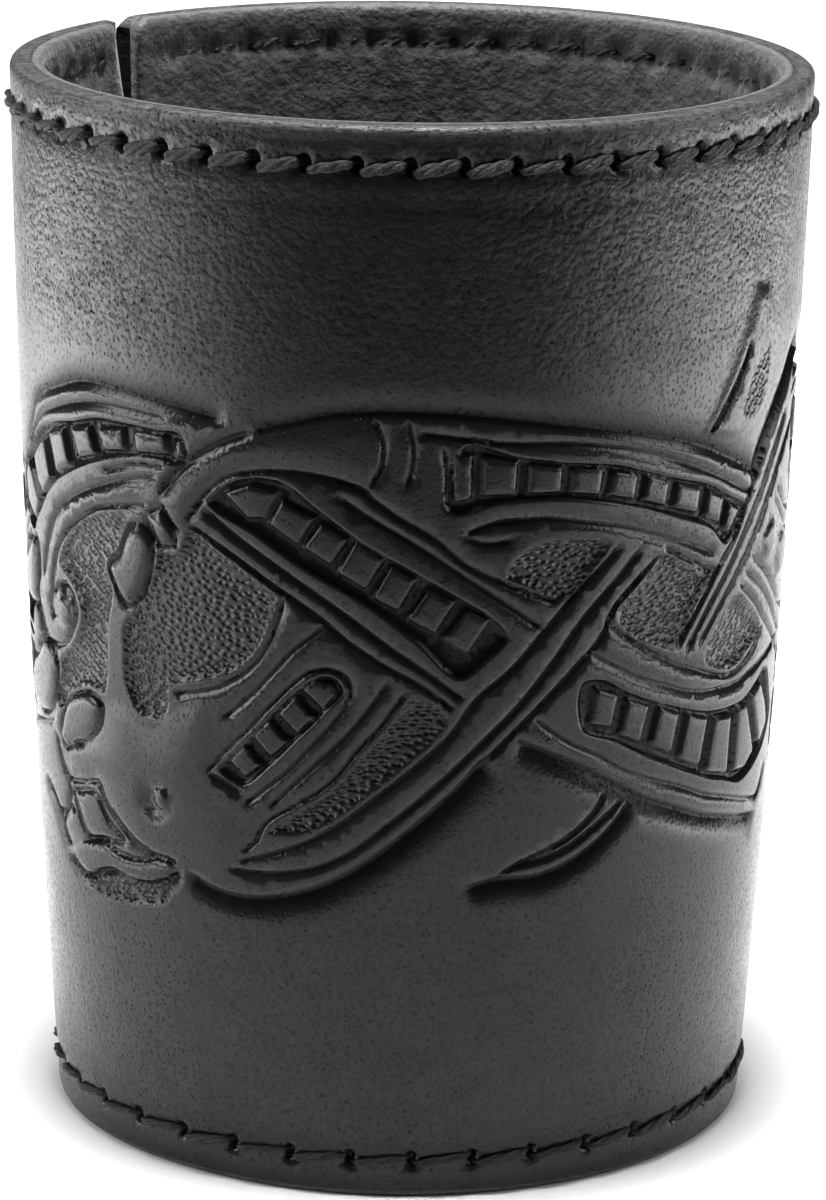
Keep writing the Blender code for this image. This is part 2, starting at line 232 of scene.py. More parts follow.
# %% Bevelled outlines
BEVELS = [
    (1, 2.6, 0.42, [(-52, 60.2), (-50, 62.5), (-47.6, 65), (-45, 68), (-43.5, 70), (-40.8, 71.3),
                    (-37.9, 72.3), (-34.4, 73.4), (-29.9, 73.7), (-25.5, 73.5), (-21.1, 73.2),
                    (-16.1, 72.6)]),
    (1, 1.2, 0.5, [(-23.4, 64.8), (-21.9, 66.9), (-19.6, 68.9), (-16.6, 70.7), (-13.1, 72.2)]),
    (1, 2.6, 0.42, [(-14, 71.9), (-13.1, 72.2), (-9.9, 73.1), (-6.4, 74.1), (-3.4, 74.4), (-0.5, 74.5),
                    (2.5, 74.4), (8.4, 73.8), (13.9, 72.9), (17.7, 72.2), (22.7, 71), (28.6, 69.4),
                    (33, 67.6), (37.4, 65.6), (38.9, 64.7)]),
    (-1, 3.2, 0.62, [(-21.6, 29.9), (-19.3, 28.8), (-15.2, 28.3), (-11.6, 28.8), (-7.5, 30.2),
                     (-3.4, 32.6), (1, 36.1), (5.4, 40.2), (8, 43)]),
    (-1, 3.0, 0.6, [(10, 44.4), (12.8, 43.1), (17.2, 41), (20.5, 39.1), (24.6, 36.9), (29, 35.1),
                    (33.4, 33.4), (37.8, 32.2), (42.2, 31), (45.2, 30.4)]),
    (-1, 2.8, 0.6, [(5.5, 30.2), (9, 30.9), (13, 31), (17, 32.3), (20, 34.2), (22.5, 36.5),
                    (23.5, 37.3)]),
    (1, 3.2, 0.6, [(37.9, 64), (39.2, 65.9), (40.4, 67.4), (43.3, 70.3), (45.9, 72.4), (47.1, 73.5),
                   (50.1, 74.8), (53, 74.3), (57.4, 72.6)]),
    (-1, 1.8, 0.5, [(-38.6, 27.6), (-37.2, 26.4), (-35.1, 26.1), (-33.4, 27), (-31.3, 27.6),
                    (-28.4, 27.3), (-25.4, 27.7), (-23.1, 28.8), (-21.6, 29.9)]),
    (1, 2.2, 0.5, [(-38.6, 27.6), (-40.7, 29.6), (-41.6, 30.8), (-43.6, 32.4), (-46, 33)]),
    (-1, 2.0, 0.5, [(-46.6, 56.2), (-45, 56.6), (-44.6, 54.8), (-45, 50.1), (-43.9, 48.2),
                    (-42.2, 47.3)]),
]
print(len(BEVELS), "bevels")

# %% [markdown]
# Between the knife lines of a band a modelling spoon presses a channel. Each one is listed as an
# outline, first along its upper edge and then back along its lower one.

# %% Channels
CHANNELS = [
    [(-20.8, 71), (-23.8, 71.1), (-27.9, 71.1), (-31.4, 70.9), (-35.5, 69.8), (-39.6, 68.9),
     (-42.3, 67.9), (-45.6, 65.6), (-48.4, 63.6), (-49.4, 61), (-48.6, 58.4), (-45.4, 57.2),
     (-44.6, 58.4), (-43.2, 59.5), (-41.1, 61.6), (-38.8, 63.4), (-35.5, 65.1), (-32, 66.6),
     (-28.5, 67.6), (-24, 68.2), (-20.2, 68.3)],
    [(5.1, 71.7), (9.8, 70.6), (15.1, 69.7), (19.8, 69), (23.3, 67.9), (26.8, 66.8), (30.9, 65.6),
     (33.9, 64.1), (36.8, 62.6), (33.6, 59.4), (30.9, 61.5), (27.1, 62.9), (22.7, 64.4), (17.7, 65.7),
     (13.9, 66.3), (8.4, 66.3), (3.6, 65.6), (3.3, 69)],
    [(-18.1, 65.4), (-16.4, 67.1), (-11.1, 67.9), (-7.8, 65.7), (-4.9, 63.6), (1, 60.1), (5.4, 57.5),
     (8.1, 55.7), (9.4, 54.2), (7.3, 51.6), (5.4, 50.2), (1, 53.6), (-3.4, 56.9), (-9.3, 60.1),
     (-13.7, 62.8)],
    [(17, 49.2), (19, 49.1), (21.6, 47.7), (25.2, 46.1), (28.4, 45), (30.5, 44.3), (33.4, 43.6),
     (36.4, 43.3), (39.3, 43.4), (42.2, 44.4), (44.6, 45.2), (47.2, 42.2), (48.6, 39.6), (46.8, 37.4),
     (44.6, 36.2), (42.2, 35.4), (39.3, 35.1), (36.4, 36), (33.4, 36.9), (30.5, 38.1), (27.5, 39.4),
     (24.6, 40.7), (20.5, 42.8), (17, 44.3)],
    [(-5.3, 49), (-6.3, 50.2), (-8.3, 49.9), (-9.6, 48.8), (-12.6, 45.8), (-15.4, 42.6), (-17.5, 40.3),
     (-15.2, 38.9), (-12.4, 41), (-9.9, 43.6), (-7, 46.7)],
]
print(len(CHANNELS), "channels")

# %% [markdown]
# Blocks are left standing in the channels like the rungs of a ladder. Each was cut by hand and
# differs a little from its neighbours, so its corners are listed.

# %% Blocks
BLOCKS = [
    [(-21.7, 70.6), (-20.5, 70.5), (-20.3, 68.8), (-21.6, 68.7)],
    [(-26.6, 70.7), (-22.4, 70.8), (-22.3, 68.8), (-26.3, 68.4)],
    [(-31.4, 70), (-27.6, 70.6), (-27.4, 68.3), (-30.5, 67.8)],
    [(-36, 69.2), (-32.6, 70), (-31.4, 67.2), (-34.4, 66.3)],
    [(-40.7, 67.8), (-37.3, 68.9), (-36, 65.4), (-39, 63.8)],
    [(-45.4, 64.5), (-41.7, 67.2), (-40.2, 63.1), (-42.3, 61.1), (-44, 62)],
    [(-49, 61.9), (-47.6, 63.5), (-46, 63), (-43.4, 60.3), (-45, 58), (-48, 59)],
    [(3.9, 71), (5.9, 70.8), (5.9, 66.7), (4, 66.4)],
    [(6.5, 70.8), (10, 70.2), (9.8, 66.9), (6.5, 66.9)],
    [(10.8, 70), (14.2, 69.4), (14.0, 66.8), (10.7, 66.9)],
    [(14.8, 69.4), (18.2, 68.9), (17.9, 66.2), (14.7, 66.7)],
    [(18.8, 68.7), (21.9, 68), (21.5, 65.4), (18.5, 66.1)],
    [(22.6, 67.8), (25.5, 66.9), (25.1, 64.3), (22.1, 65.2)],
    [(26.2, 66.6), (29.6, 65.6), (29.3, 62.9), (25.8, 64)],
    [(30.4, 65.4), (33.1, 64.1), (32.5, 61.4), (30, 62.5)],
    [(33.7, 63.6), (36, 62.4), (34, 60.1), (33.1, 60.9)],
    [(-16.9, 66.3), (-14, 67.5), (-11.3, 67), (-12.7, 64.2), (-14.3, 64)],
    [(-11.1, 66.3), (-7.8, 64.8), (-9.6, 61.9), (-12.5, 63.8)],
    [(-7.5, 64.5), (-4.7, 63.1), (-6.6, 60.3), (-9.3, 61.9)],
    [(-4.4, 63.1), (-1.6, 61.3), (-3.4, 58.2), (-6.2, 59.8)],
    [(-1.2, 61), (1.3, 59.5), (-0.5, 56.3), (-3, 57.6)],
    [(2.2, 58.9), (4.7, 57.3), (2.8, 54.2), (0.1, 55.7)],
    [(5.4, 56.9), (7.9, 55.6), (5.7, 52.2), (3.4, 53.9)],
    [(18.1, 48.5), (20.9, 47.5), (20.2, 44.2), (17.6, 44.8)],
    [(21.6, 47), (24.6, 45.9), (23.6, 42.2), (20.9, 43.4)],
    [(25.6, 45.7), (28.6, 44.4), (27.7, 40.4), (24.7, 41.9)],
    [(29.6, 44.2), (33, 43.1), (32.1, 38.4), (28.6, 39.8)],
    [(33.9, 42.9), (37.2, 42.5), (37.2, 36.4), (32.9, 37.6)],
    [(38.2, 42.8), (40.4, 42.8), (43.4, 37.2), (40.8, 35.9), (38.1, 36.3)],
    [(41.2, 42.9), (43.7, 44.2), (46.6, 41), (47.6, 39), (45.2, 37.4), (44.2, 37.6)],
    [(-8.1, 49.9), (-6.2, 49.7), (-5.9, 48.4), (-7.3, 46.8), (-9.4, 48.8)],
    [(-9.8, 48.3), (-7.8, 46.2), (-9.7, 44.3), (-11.7, 46.3)],
    [(-12.3, 45.8), (-10.3, 43.7), (-12.2, 41.8), (-14.2, 43.9)],
    [(-14.7, 43.2), (-12.9, 41.2), (-14.8, 39.7), (-16.6, 41.2)],
]
print(len(BLOCKS), "blocks")

# %% [markdown]
# The grounds between the bands are pressed down and matted, which makes the bands stand out.

# %% Matted grounds
MATTED = [
    [(8.9, 60), (10.4, 61.8), (12.7, 62.8), (15.6, 62.8), (19.2, 61.8), (17.7, 59.7), (15.9, 57.6),
     (14.5, 56.6), (10.9, 58.4), (8.9, 59.4)],
    [(-20.5, 62.3), (-16.6, 60.6), (-12.4, 58), (-11.4, 57.3), (-12.1, 54.7), (-13.2, 52.2),
     (-15.2, 50), (-18.2, 48.6), (-21.5, 47.6), (-22.9, 46.7), (-22.8, 45.5), (-23.6, 44.1),
     (-25.4, 43.5), (-27.2, 44.2), (-28.4, 46.1), (-28.6, 49.1), (-28.4, 52), (-27.2, 53.6),
     (-25.4, 56.5), (-24.2, 58.6), (-24, 59.7), (-21.3, 60.2), (-20.8, 61.6)],
    [(-35.5, 60), (-33.2, 61.4), (-30.2, 62.3), (-27, 62.7), (-27.9, 61), (-29, 58.9), (-30.5, 57.2),
     (-29.6, 55.1), (-29.9, 53.4), (-30.5, 51), (-30.6, 49.1), (-30.9, 46.1), (-31.6, 44.6),
     (-33.1, 44.8), (-35.7, 44.2), (-38.1, 43), (-39.9, 41), (-41.4, 41.7), (-40.1, 44.4),
     (-39.7, 46.2), (-38.6, 47.2), (-36.8, 48.4), (-35.6, 50.2), (-35.3, 51), (-35.8, 53.3),
     (-37.6, 54.4), (-39, 55.4), (-37.9, 57.8)],
    [(20.6, 53.6), (24.6, 51.3), (27, 50.6), (30, 54.5), (32.6, 57.6), (28.4, 58.4), (25.2, 60.1),
     (22.4, 57.6), (19.9, 55)],
    [(31.4, 49.6), (33, 51.8), (34.8, 53.7), (36.4, 54.3), (38.8, 52.7), (41.5, 50.6), (42.2, 49.5),
     (39.7, 47.9), (37.8, 47), (35.8, 46.8), (33.4, 47.4), (31.4, 48.8)],
    [(-14.6, 33.2), (-13, 34.4), (-9.3, 35), (-5.8, 36.9), (-2.8, 39.3), (1, 42.5), (3.4, 45),
     (4.2, 46.6), (2.3, 48.3), (0.6, 48.6), (-0.4, 47.2), (-2, 45), (-3.8, 42.9), (-5.4, 40.9),
     (-7.4, 38.9), (-10.2, 37), (-13, 34.8)],
    [(-40, 26.8), (-37, 25.2), (-33, 24.6), (-28, 25), (-23.6, 26.4), (-22.6, 28.4), (-25.4, 27.3),
     (-28.4, 26.9), (-31.3, 27.2), (-33.4, 26.6), (-35.1, 25.8), (-37.4, 26), (-39, 27.4)],
]
HORN_HATCH = [(34.6, 71.2), (36.4, 70.6), (38.2, 71.4), (39.6, 75.3), (39.4, 77), (37.2, 76),
              (35.2, 73.4)]
print(len(MATTED) + 1, "matted grounds")

# %% [markdown]
# Under the head, the crest and the horn the damp leather is pushed up from behind, and it dries
# swollen. Each row holds the rise, the width of the soft border and the outline.

# %% Swollen shapes
PILLOWS = [
    (0.3, 1.5, [(29.3, 70.3), (30.9, 73.2), (33, 76.2), (35.1, 80), (36.5, 82.8), (38.5, 82.8),
                (40.1, 80.6), (40.5, 78.2), (40.4, 75.3), (38.9, 71), (36.2, 69.4), (33.6, 68.9),
                (31, 69.4)]),
    (0.25, 1.2, CLOSED_LINES[0]), (0.28, 1.3, CLOSED_LINES[1]),
    (0.25, 1.4, [(-46, 45.3), (-44, 47), (-42, 47), (-40.5, 45.5), (-41, 42.5), (-43, 40.2),
                 (-46, 39.4), (-49, 40), (-49, 43.5)]),
    (0.25, 1.4, [(-45, 50.2), (-43.9, 48.2), (-44, 47), (-46.5, 45), (-50, 43.4), (-50, 48.9),
                 (-47.5, 49.6)]),
    (0.25, 1.4, [(-45, 50.2), (-44.6, 54.8), (-45.2, 56.4), (-47.5, 55.9), (-50, 55.4), (-50, 48.9),
                 (-47.5, 49.6)]),
    (0.22, 1.2, [(-38.6, 27.6), (-36.3, 29.4), (-32.8, 30.1), (-29.8, 29.5), (-26.9, 29.8),
                 (-24.8, 30.4), (-22.5, 30.1), (-23.1, 28.8), (-25.4, 27.7), (-28.4, 27.3),
                 (-31.3, 27.6), (-33.4, 27), (-35.1, 26.1), (-37.2, 26.4)]),
    (0.25, 2.4, [(-23.4, 64.8), (-21.9, 66.9), (-19.6, 68.9), (-16.6, 70.7), (-13.1, 72.2),
                 (-9.9, 73.1), (-6.4, 74.1), (-3.1, 74.2), (-2.1, 71), (-3.1, 67.8), (-4.6, 67.9),
                 (-7.5, 68.6), (-10.8, 68.8), (-13.7, 68.5), (-16.1, 67.8), (-17.8, 66.6),
                 (-19.9, 64.1), (-21, 61.7)]),
    (0.3, 4.0, [(-31, 44), (-28.5, 44.5), (-25, 42.8), (-22.5, 45), (-19, 46.5), (-17.5, 43),
                (-18.5, 38), (-15, 34), (-17, 30.8), (-22.5, 30.4), (-27, 31), (-30.5, 33), (-33, 36),
                (-38.5, 36.4), (-39.5, 37.4), (-35, 39), (-32, 41)]),
]
print(len(PILLOWS), "swollen shapes")

# %% [markdown]
# The eye is a pit from a ball tool with a small dome left in it. Three more places are domed.
# Each row holds the middle, the radius and the rise.

# %% Domes and pits
DOMES = [((-24.9, 36.0), 2.7, -0.7), ((-24.1, 36.3), 1.15, 0.75), ((43, 57.7), 1.9, 0.35),
         ((47.7, 55.5), 2.3, 0.35), ((-38.2, 51), 1.5, 0.3)]
print(len(DOMES), "domes and pits")

# %% [markdown]
# Around the back the same work goes on as a two-strand plait of ribbed ribbons. A ribbon is one
# middle line; its cuts, its channel and its blocks are set off from that line, and where another
# ribbon lies over it, its cuts stop.

# %% The plait around the back
RIBBONS = {
    "over_first": [(49, 67), (52, 67.6), (58, 62.4), (66.5, 51.5), (75, 39.5), (82, 35.5), (89, 39.5),
                   (97.5, 51.5), (106, 63.5), (113, 67.5), (120, 63.5), (128.5, 51.5), (137, 39.5),
                   (143, 35.9), (149, 36.6), (156, 43.5), (163, 50.5), (170, 56.5), (176, 61)],
    "under_first": [(50, 38.3), (53, 38.4), (58, 42.5), (66.5, 51.5), (75, 63.5), (82, 67.5),
                    (89, 63.5), (97.5, 51.5), (106, 39.5), (113, 35.5), (120, 39.5), (128.5, 51.5),
                    (137, 63.5), (143, 67.1), (149, 66.4), (156, 59), (163, 50.5), (170, 45.5),
                    (178, 42.9)],
}
CROSSINGS = [(66.5, 51.5, "over_first"), (97.5, 51.5, "under_first"),
             (128.5, 51.5, "over_first"), (163, 50.5, "under_first")]
HALF_RIBBON, HALF_CHANNEL, HALF_BLOCK = 5.2, 2.9, 2.3
CUT_OFFSET = 3.9


def hidden(points, ribbon, margin=0.3):
    """Which points of a ribbon lie under the other one at a crossing."""
    out = np.zeros(len(points), bool)
    other = smooth_line(RIBBONS["under_first" if ribbon == "over_first" else "over_first"], 1.0)
    for u, v, on_top in CROSSINGS:
        if on_top != ribbon:
            here = np.hypot(points[:, 0] - u, points[:, 1] - v) < 13
            u_gaps = points[:, None, 0] - other[None, :, 0]
            v_gaps = points[:, None, 1] - other[None, :, 1]
            gaps = np.hypot(u_gaps, v_gaps).min(1)
            out |= here & (gaps < HALF_RIBBON + margin)
    return out


def runs(points, keep):
    """The unbroken stretches of a line."""
    pieces, now = [], []
    for point, good in zip(points, keep):
        if good:
            now.append(point)
        elif now:
            pieces.append(np.array(now))
            now = []
    if now:
        pieces.append(np.array(now))
    return [piece for piece in pieces if len(piece) > 3]


ribbon_lines, ribbon_bevels, ribbon_channels, ribbon_blocks = [], [], [], []
for name, middle in RIBBONS.items():
    line = smooth_line(middle)
    for offset in (CUT_OFFSET, -CUT_OFFSET):
        row = side_row(line, offset)
        ribbon_lines += runs(row, ~hidden(row, name))
    for side in (1, -1):
        row = side_row(line, side * HALF_RIBBON)
        ribbon_bevels += [(side, piece) for piece in runs(row, ~hidden(row, name))]
    slope = np.gradient(line, axis=0)
    slope /= np.hypot(*slope.T)[:, None]
    left = np.stack([-slope[:, 1], slope[:, 0]], -1)
    for piece in range(8, len(line) - 10, 10):
        ends = [line[piece], line[piece + 8]]
        sides = [left[piece], left[piece + 8]]
        block = np.array([ends[0] - HALF_BLOCK * sides[0], ends[1] - HALF_BLOCK * sides[1],
                          ends[1] + HALF_BLOCK * sides[1], ends[0] + HALF_BLOCK * sides[0]])
        if not hidden(block, name, 0.9).any():
            ribbon_blocks.append(block)
    for stretch in runs(np.hstack([line, left]), ~hidden(line, name, 0.8)):
        along, aside = stretch[:, :2], HALF_CHANNEL * stretch[:, 2:]
        ribbon_channels.append(np.vstack([along + aside, (along - aside)[::-1]]))
LENSES = [(82, 51.5), (113, 51.5), (144.5, 51.5)]
ribbon_grounds = []
for u, v in LENSES:
    turn = np.linspace(0, math.tau, 40, endpoint=False)
    pointed = 1 - 0.45 * np.abs(np.cos(turn))
    ribbon_grounds.append(np.stack([u + 7.6 * np.cos(turn), v + 8.0 * np.sin(turn) * pointed], -1))
print(len(ribbon_blocks), "blocks and", len(ribbon_lines), "cuts around the back")

# %% [markdown]
# The lists become closely set curves, one list for each tool. The plait's curves join them, with
# a copy of each one turn back, since the sheet ends at the seam.

# %% Gathering every cut
def shifted(points):
    """A curve of the plait, and the same curve one turn back."""
    points = np.asarray(points, float)
    return [points, points - [ROUND, 0]]


knife = [smooth_line(line) for line in KNIFE_LINES]
knife += [smooth_line(line, closed=True) for line in CLOSED_LINES]
knife += [copy for line in ribbon_lines for copy in shifted(line)]
bevels = [(side, run, depth, smooth_line(line)) for side, run, depth, line in BEVELS]
bevels += [(side, 2.4, 0.5, copy) for side, line in ribbon_bevels for copy in shifted(line)]
channels = [smooth_line(area, closed=True) for area in CHANNELS]
channels += [copy for area in ribbon_channels for copy in shifted(area)]
blocks = [straight_line(area, 0.35, closed=True) for area in BLOCKS]
for area in ribbon_blocks:
    blocks += shifted(straight_line([tuple(p) for p in area], 0.35, closed=True))
grounds = [(0.55, smooth_line(area, closed=True)) for area in MATTED]
grounds.append((0.05, smooth_line(HORN_HATCH, closed=True)))
grounds += [(0.5, copy) for area in ribbon_grounds for copy in shifted(area)]
pillows = [(rise, soft, smooth_line(area, closed=True)) for rise, soft, area in PILLOWS]
print(len(knife), "cuts,", len(bevels), "bevels,", len(blocks), "blocks and", len(grounds), "grounds in all")

# %% [markdown]
# The awl holes stand in two rows. Round each one the leather is drawn in, and the pulled thread
# presses a shallow trench between them, so the rows count as tooling too.

# %% Rows of awl holes
RIM_ROW, BASE_ROW = 96.3, 3.6
RIM_HOLES, BASE_HOLES = 49, 37
SEAM_TURN = math.tau * SEAM_U / ROUND


def row_turns(height, count, start, end):
    """Turns, in radians from the front, of a row of awl holes from one side of the seam to the other."""
    radius = outer_radius(height)
    return np.linspace(SEAM_TURN + start / radius, SEAM_TURN + math.tau - end / radius, count)


rim_turns = row_turns(RIM_ROW, RIM_HOLES, 4.25, 5.5)
base_turns = row_turns(BASE_ROW, BASE_HOLES, 2.2, 2.2)
# turns, height of the row, how far above it the holes lie, their half-width, depth of the trench
STITCH_HOLES = [(rim_turns, RIM_ROW, 0.2, 0.66, 0.14), (base_turns, BASE_ROW, 0.15, 0.62, 0.34)]
HOLE_LENGTH, HOLE_DEPTH = 1.35, 1.25
print(f"rim holes every {np.diff(rim_turns)[0] * outer_radius(RIM_ROW):.2f} mm")

# %% [markdown]
# Every depth below needs the distance from many places to a curve. The curve is taken a dozen
# points at a time, and only the places near those are looked at, which keeps it quick.

# %% Distances on the sheet
def nearest(points, line, reach, closed=False):
    """Distance from each place to a line, its side (1 for left) and how far along it is, within a reach."""
    if closed:
        line = np.vstack([line, line[:1]])
    away = np.full(len(points), reach)
    side = np.zeros(len(points))
    along = np.zeros(len(points))
    lengths = np.concatenate([[0], np.cumsum(np.hypot(*np.diff(line, axis=0).T))])
    for first in range(0, len(line) - 1, 12):
        part = line[first:first + 13]
        low, high = part.min(0) - reach, part.max(0) + reach
        here = np.nonzero(((points > low) & (points < high)).all(1))[0]
        if not len(here) or len(part) < 2:
            continue
        a, d = part[:-1], np.diff(part, axis=0)
        size = np.maximum((d**2).sum(1), 1e-12)
        rel = points[here][:, None] - a[None]
        share = np.clip((rel * d[None]).sum(2) / size, 0, 1)
        gap = rel - share[..., None] * d[None]
        far = np.hypot(gap[..., 0], gap[..., 1])
        best = far.argmin(1)
        row = np.arange(len(here))
        closer = far[row, best] < away[here]
        hit, best, row = here[closer], best[closer], row[closer]
        away[hit] = far[row, best]
        side[hit] = np.sign(d[best, 0] * rel[row, best, 1] - d[best, 1] * rel[row, best, 0])
        along[hit] = lengths[first + best] + share[row, best] * np.sqrt(size[best])
    return away, side, along, lengths[-1]


def inside(points, area):
    """Which places lie within an area."""
    low, high = area.min(0), area.max(0)
    here = np.nonzero(((points > low) & (points < high)).all(1))[0]
    out = np.zeros(len(points), bool)
    if len(here):
        a, b = area, np.roll(area, -1, axis=0)
        p = points[here]
        crosses = (a[None, :, 1] > p[:, None, 1]) != (b[None, :, 1] > p[:, None, 1])
        rise = np.where(np.abs(b[:, 1] - a[:, 1]) < 1e-9, 1e-9, b[:, 1] - a[:, 1])
        where = a[None, :, 0] + (p[:, None, 1] - a[None, :, 1]) * ((b[:, 0] - a[:, 0]) / rise)[None]
        out[here] = (crosses & (p[:, None, 0] < where)).sum(1) % 2 == 1
    return out


def ease(x):
    x = np.clip(x, 0, 1)
    return x * x * (3 - 2 * x)


# %% [markdown]
# The depth at any place comes from its distance to the nearest marks, and the deepest one wins. A
# knife line is a narrow V with soft shoulders. A bevel is steep on the figure's side and fades
# slowly on the ground's side. A channel or a ground is a sunk area with rounded borders, and the
# blocks and the swollen shapes rise. The same sums say where the ground is matted, and where a
# cut or an unmatted channel gets painted shade, a dull black mixed into the leather.

# %% Depth of the tooling
KNIFE_HALF, BEVEL_BACK = 0.32, 0.45


def tooled(points):
    """How far outwards the tools move each place, in mm, how matted it is, and how much painted shade it gets.
    """
    sunk = np.zeros(len(points))
    matted = np.zeros(len(points))
    for area in channels:
        away = nearest(points, area, 1.2, True)[0]
        sunk = np.maximum(sunk, 0.58 * np.where(inside(points, area), ease(away / 0.4), 0))
    for area in blocks:
        away = nearest(points, area, 1.0, True)[0]
        within = inside(points, area)
        sunk = np.where(within, sunk * (1 - 0.9 * ease((away + 0.02) / 0.36)), sunk)
    for sink, area in grounds:
        away = nearest(points, area, 1.2, True)[0]
        within = inside(points, area)
        sunk = np.maximum(sunk, sink * np.where(within, ease(away / 0.7), 0))
        matted = np.maximum(matted, np.where(within, ease(away / 0.6), 0))
    cut = np.zeros(len(points))
    for line in knife:
        away, _, along, length = nearest(points, line, 1.5)
        fade = ease((np.minimum(along, length - along) + 0.3) / 1.2)
        depth = 0.48 * np.clip(1 - away / KNIFE_HALF, 0, 1) + 0.1 * np.exp(-(away / 0.7) ** 2) * (away < 1.5)
        cut = np.maximum(cut, depth * fade)
    for side, run, depth, line in bevels:
        away, which, along, length = nearest(points, line, run)
        fade = ease((np.minimum(along, length - along) + 0.2) / 2.0)
        ground = 1.35 * depth * np.clip(1 - away / run, 0, 1) ** 1.8
        figure = 1.35 * depth * np.clip(1 - away / BEVEL_BACK, 0, 1)
        cut = np.maximum(cut, fade * np.where(which == side, ground, figure))
    # painted shade: unmatted channel floors and deep cuts are marked for a dull black mix in the leather
    gap_floor = np.where(matted > 0, 0, ease(sunk / 0.5))
    shade = np.maximum(gap_floor, ease((cut - 0.1) / 0.35))
    out = -np.maximum(sunk, cut)
    for area in blocks:
        away = nearest(points, area, 0.8, True)[0]
        out += np.where(inside(points, area), 0.08 * ease(away / 0.8), 0)
    for rise, soft, area in pillows:
        away = nearest(points, area, soft, True)[0]
        out += np.where(inside(points, area), rise * np.sin(np.clip(away / soft, 0, 1) * math.pi / 2), 0)
    for (u, v), radius, rise in DOMES:
        share = np.clip(np.hypot(points[:, 0] - u, points[:, 1] - v) / radius, 0, 1)
        out += rise * (np.sqrt(1 - share ** 2) if rise > 0 else ease(1 - share))
    for turns, row, up, hole, press in STITCH_HOLES:
        over = np.abs(points[:, 1] - row) < 4
        place = points[over]
        holes = turns * SHEET_RADIUS
        away = np.abs(place[:, None, 0] - holes[None])
        close = away.argmin(1)
        across = place[:, 0] - holes[close]
        gap = np.hypot(across / hole, (place[:, 1] - row - up) / (hole * HOLE_LENGTH))
        trench = press * np.exp(-((place[:, 1] - row) / 0.9) ** 2)
        out[over] -= np.maximum(HOLE_DEPTH * ease(1.25 - gap), trench)
    scribed = np.exp(-((points[:, 1] - RIM_ROW + 3.2) / 0.35) ** 2)
    out -= 0.12 * scribed * ease(1 - np.abs(points[:, 0] - 4) / 30)
    return out, matted, shade


# %% [markdown]
# The wall's skin is one flat net of points: rows beside every cut, so that edges come out crisp,
# and a looser net between them. Delaunay joins the net into triangles, which are then wrapped
# round the cup. No modifier can put points just where a knife went, so this piece is built so.

# %% Points of the tooled sheet
SKIN_LOW, SKIN_HIGH = 0.7, 99.2
COLUMNS = 300
seam_end = SEAM_U + ROUND


def net(points, size, taken):
    """Keeps one point for each small square that is still free."""
    key = np.floor(points / size).astype(int)
    _, first = np.unique(key[:, 0] * 100003 + key[:, 1], return_index=True)
    points = points[np.sort(first)]
    if len(taken):
        used = np.floor(taken / size).astype(int)
        used = set((used[:, 0] * 100003 + used[:, 1]).tolist())
        key = np.floor(points / size).astype(int)
        free = [k not in used for k in (key[:, 0] * 100003 + key[:, 1]).tolist()]
        points = points[free]
    return points


across = np.linspace(SEAM_U, seam_end, COLUMNS + 1)
upward = np.linspace(SKIN_LOW, SKIN_HIGH, 100)
border = np.vstack([
    np.stack([across, np.full(COLUMNS + 1, SKIN_LOW)], -1),
    np.stack([across, np.full(COLUMNS + 1, SKIN_HIGH)], -1),
    np.stack([np.full(98, SEAM_U), upward[1:-1]], -1), np.stack([np.full(98, seam_end), upward[1:-1]], -1)])
rows = []
for line in knife:
    rows += [line, side_row(line, KNIFE_HALF), side_row(line, -KNIFE_HALF)]
for side, run, depth, line in bevels:
    rows += [line] + [side_row(line, side * gap) for gap in (-BEVEL_BACK, 0.4, 0.8, 1.25, 1.8, run)]
for area in channels + [area for _, area in grounds]:
    loop = np.vstack([area, area[:1]])
    rows += [side_row(loop, gap) for gap in (0, 0.22, -0.22, 0.45, -0.45)]
for area in blocks:
    loop = np.vstack([area, area[:1]])
    rows += [area.mean(0) + (loop - area.mean(0)) * grow for grow in (1.0, 1.1, 0.87, 0.74, 0.5)]
for rise, soft, area in pillows:
    loop = np.vstack([area, area[:1]])
    twice_area = (area[:, 0] * np.roll(area[:, 1], -1) - area[:, 1] * np.roll(area[:, 0], -1)).sum()
    inwards = soft * (1 if twice_area > 0 else -1)
    rows += [loop] + [side_row(loop, inwards * gap) for gap in (0.2, 0.45, 0.75, 1.0)]
turn = np.linspace(0, math.tau, 14, endpoint=False)
for turns, row, up, hole, _ in STITCH_HOLES:
    for u in turns * SHEET_RADIUS:
        for grow in (0.25, 0.6, 0.9, 1.25):
            half = hole * grow
            rows.append(np.stack([u + half * np.cos(turn), row + up + HOLE_LENGTH * half * np.sin(turn)], -1))
for (u, v), radius, rise in DOMES:
    for grow in (0.1, 0.35, 0.6, 0.85, 1.0):
        rows.append(np.stack([u + radius * grow * np.cos(turn), v + radius * grow * np.sin(turn)], -1))
followed = np.vstack(rows)
followed[:, 0] = (followed[:, 0] - SEAM_U) % ROUND + SEAM_U
margin = 0.35
within = ((followed[:, 0] > SEAM_U + margin) & (followed[:, 0] < seam_end - margin)
          & (followed[:, 1] > SKIN_LOW + margin) & (followed[:, 1] < SKIN_HIGH - margin))
followed = net(followed[within], 0.17, [])
loose = np.random.default_rng(7)
grid_u, grid_v = np.meshgrid(np.arange(SEAM_U + 0.7, seam_end - 0.5, 0.85),
                             np.arange(SKIN_LOW + 0.7, SKIN_HIGH - 0.5, 0.85))
filler = np.stack([grid_u.ravel(), grid_v.ravel()], -1) + loose.uniform(-0.2, 0.2, (grid_u.size, 2))
filler = net(filler, 0.55, followed)
sheet = np.vstack([border, followed, filler])
print(f"{len(followed)} points beside cuts, {len(filler)} between them")

# %% [markdown]
# Delaunay gives each triangle either way round, so those that look inwards are turned over. Then
# every point gets its depth from the tooling.

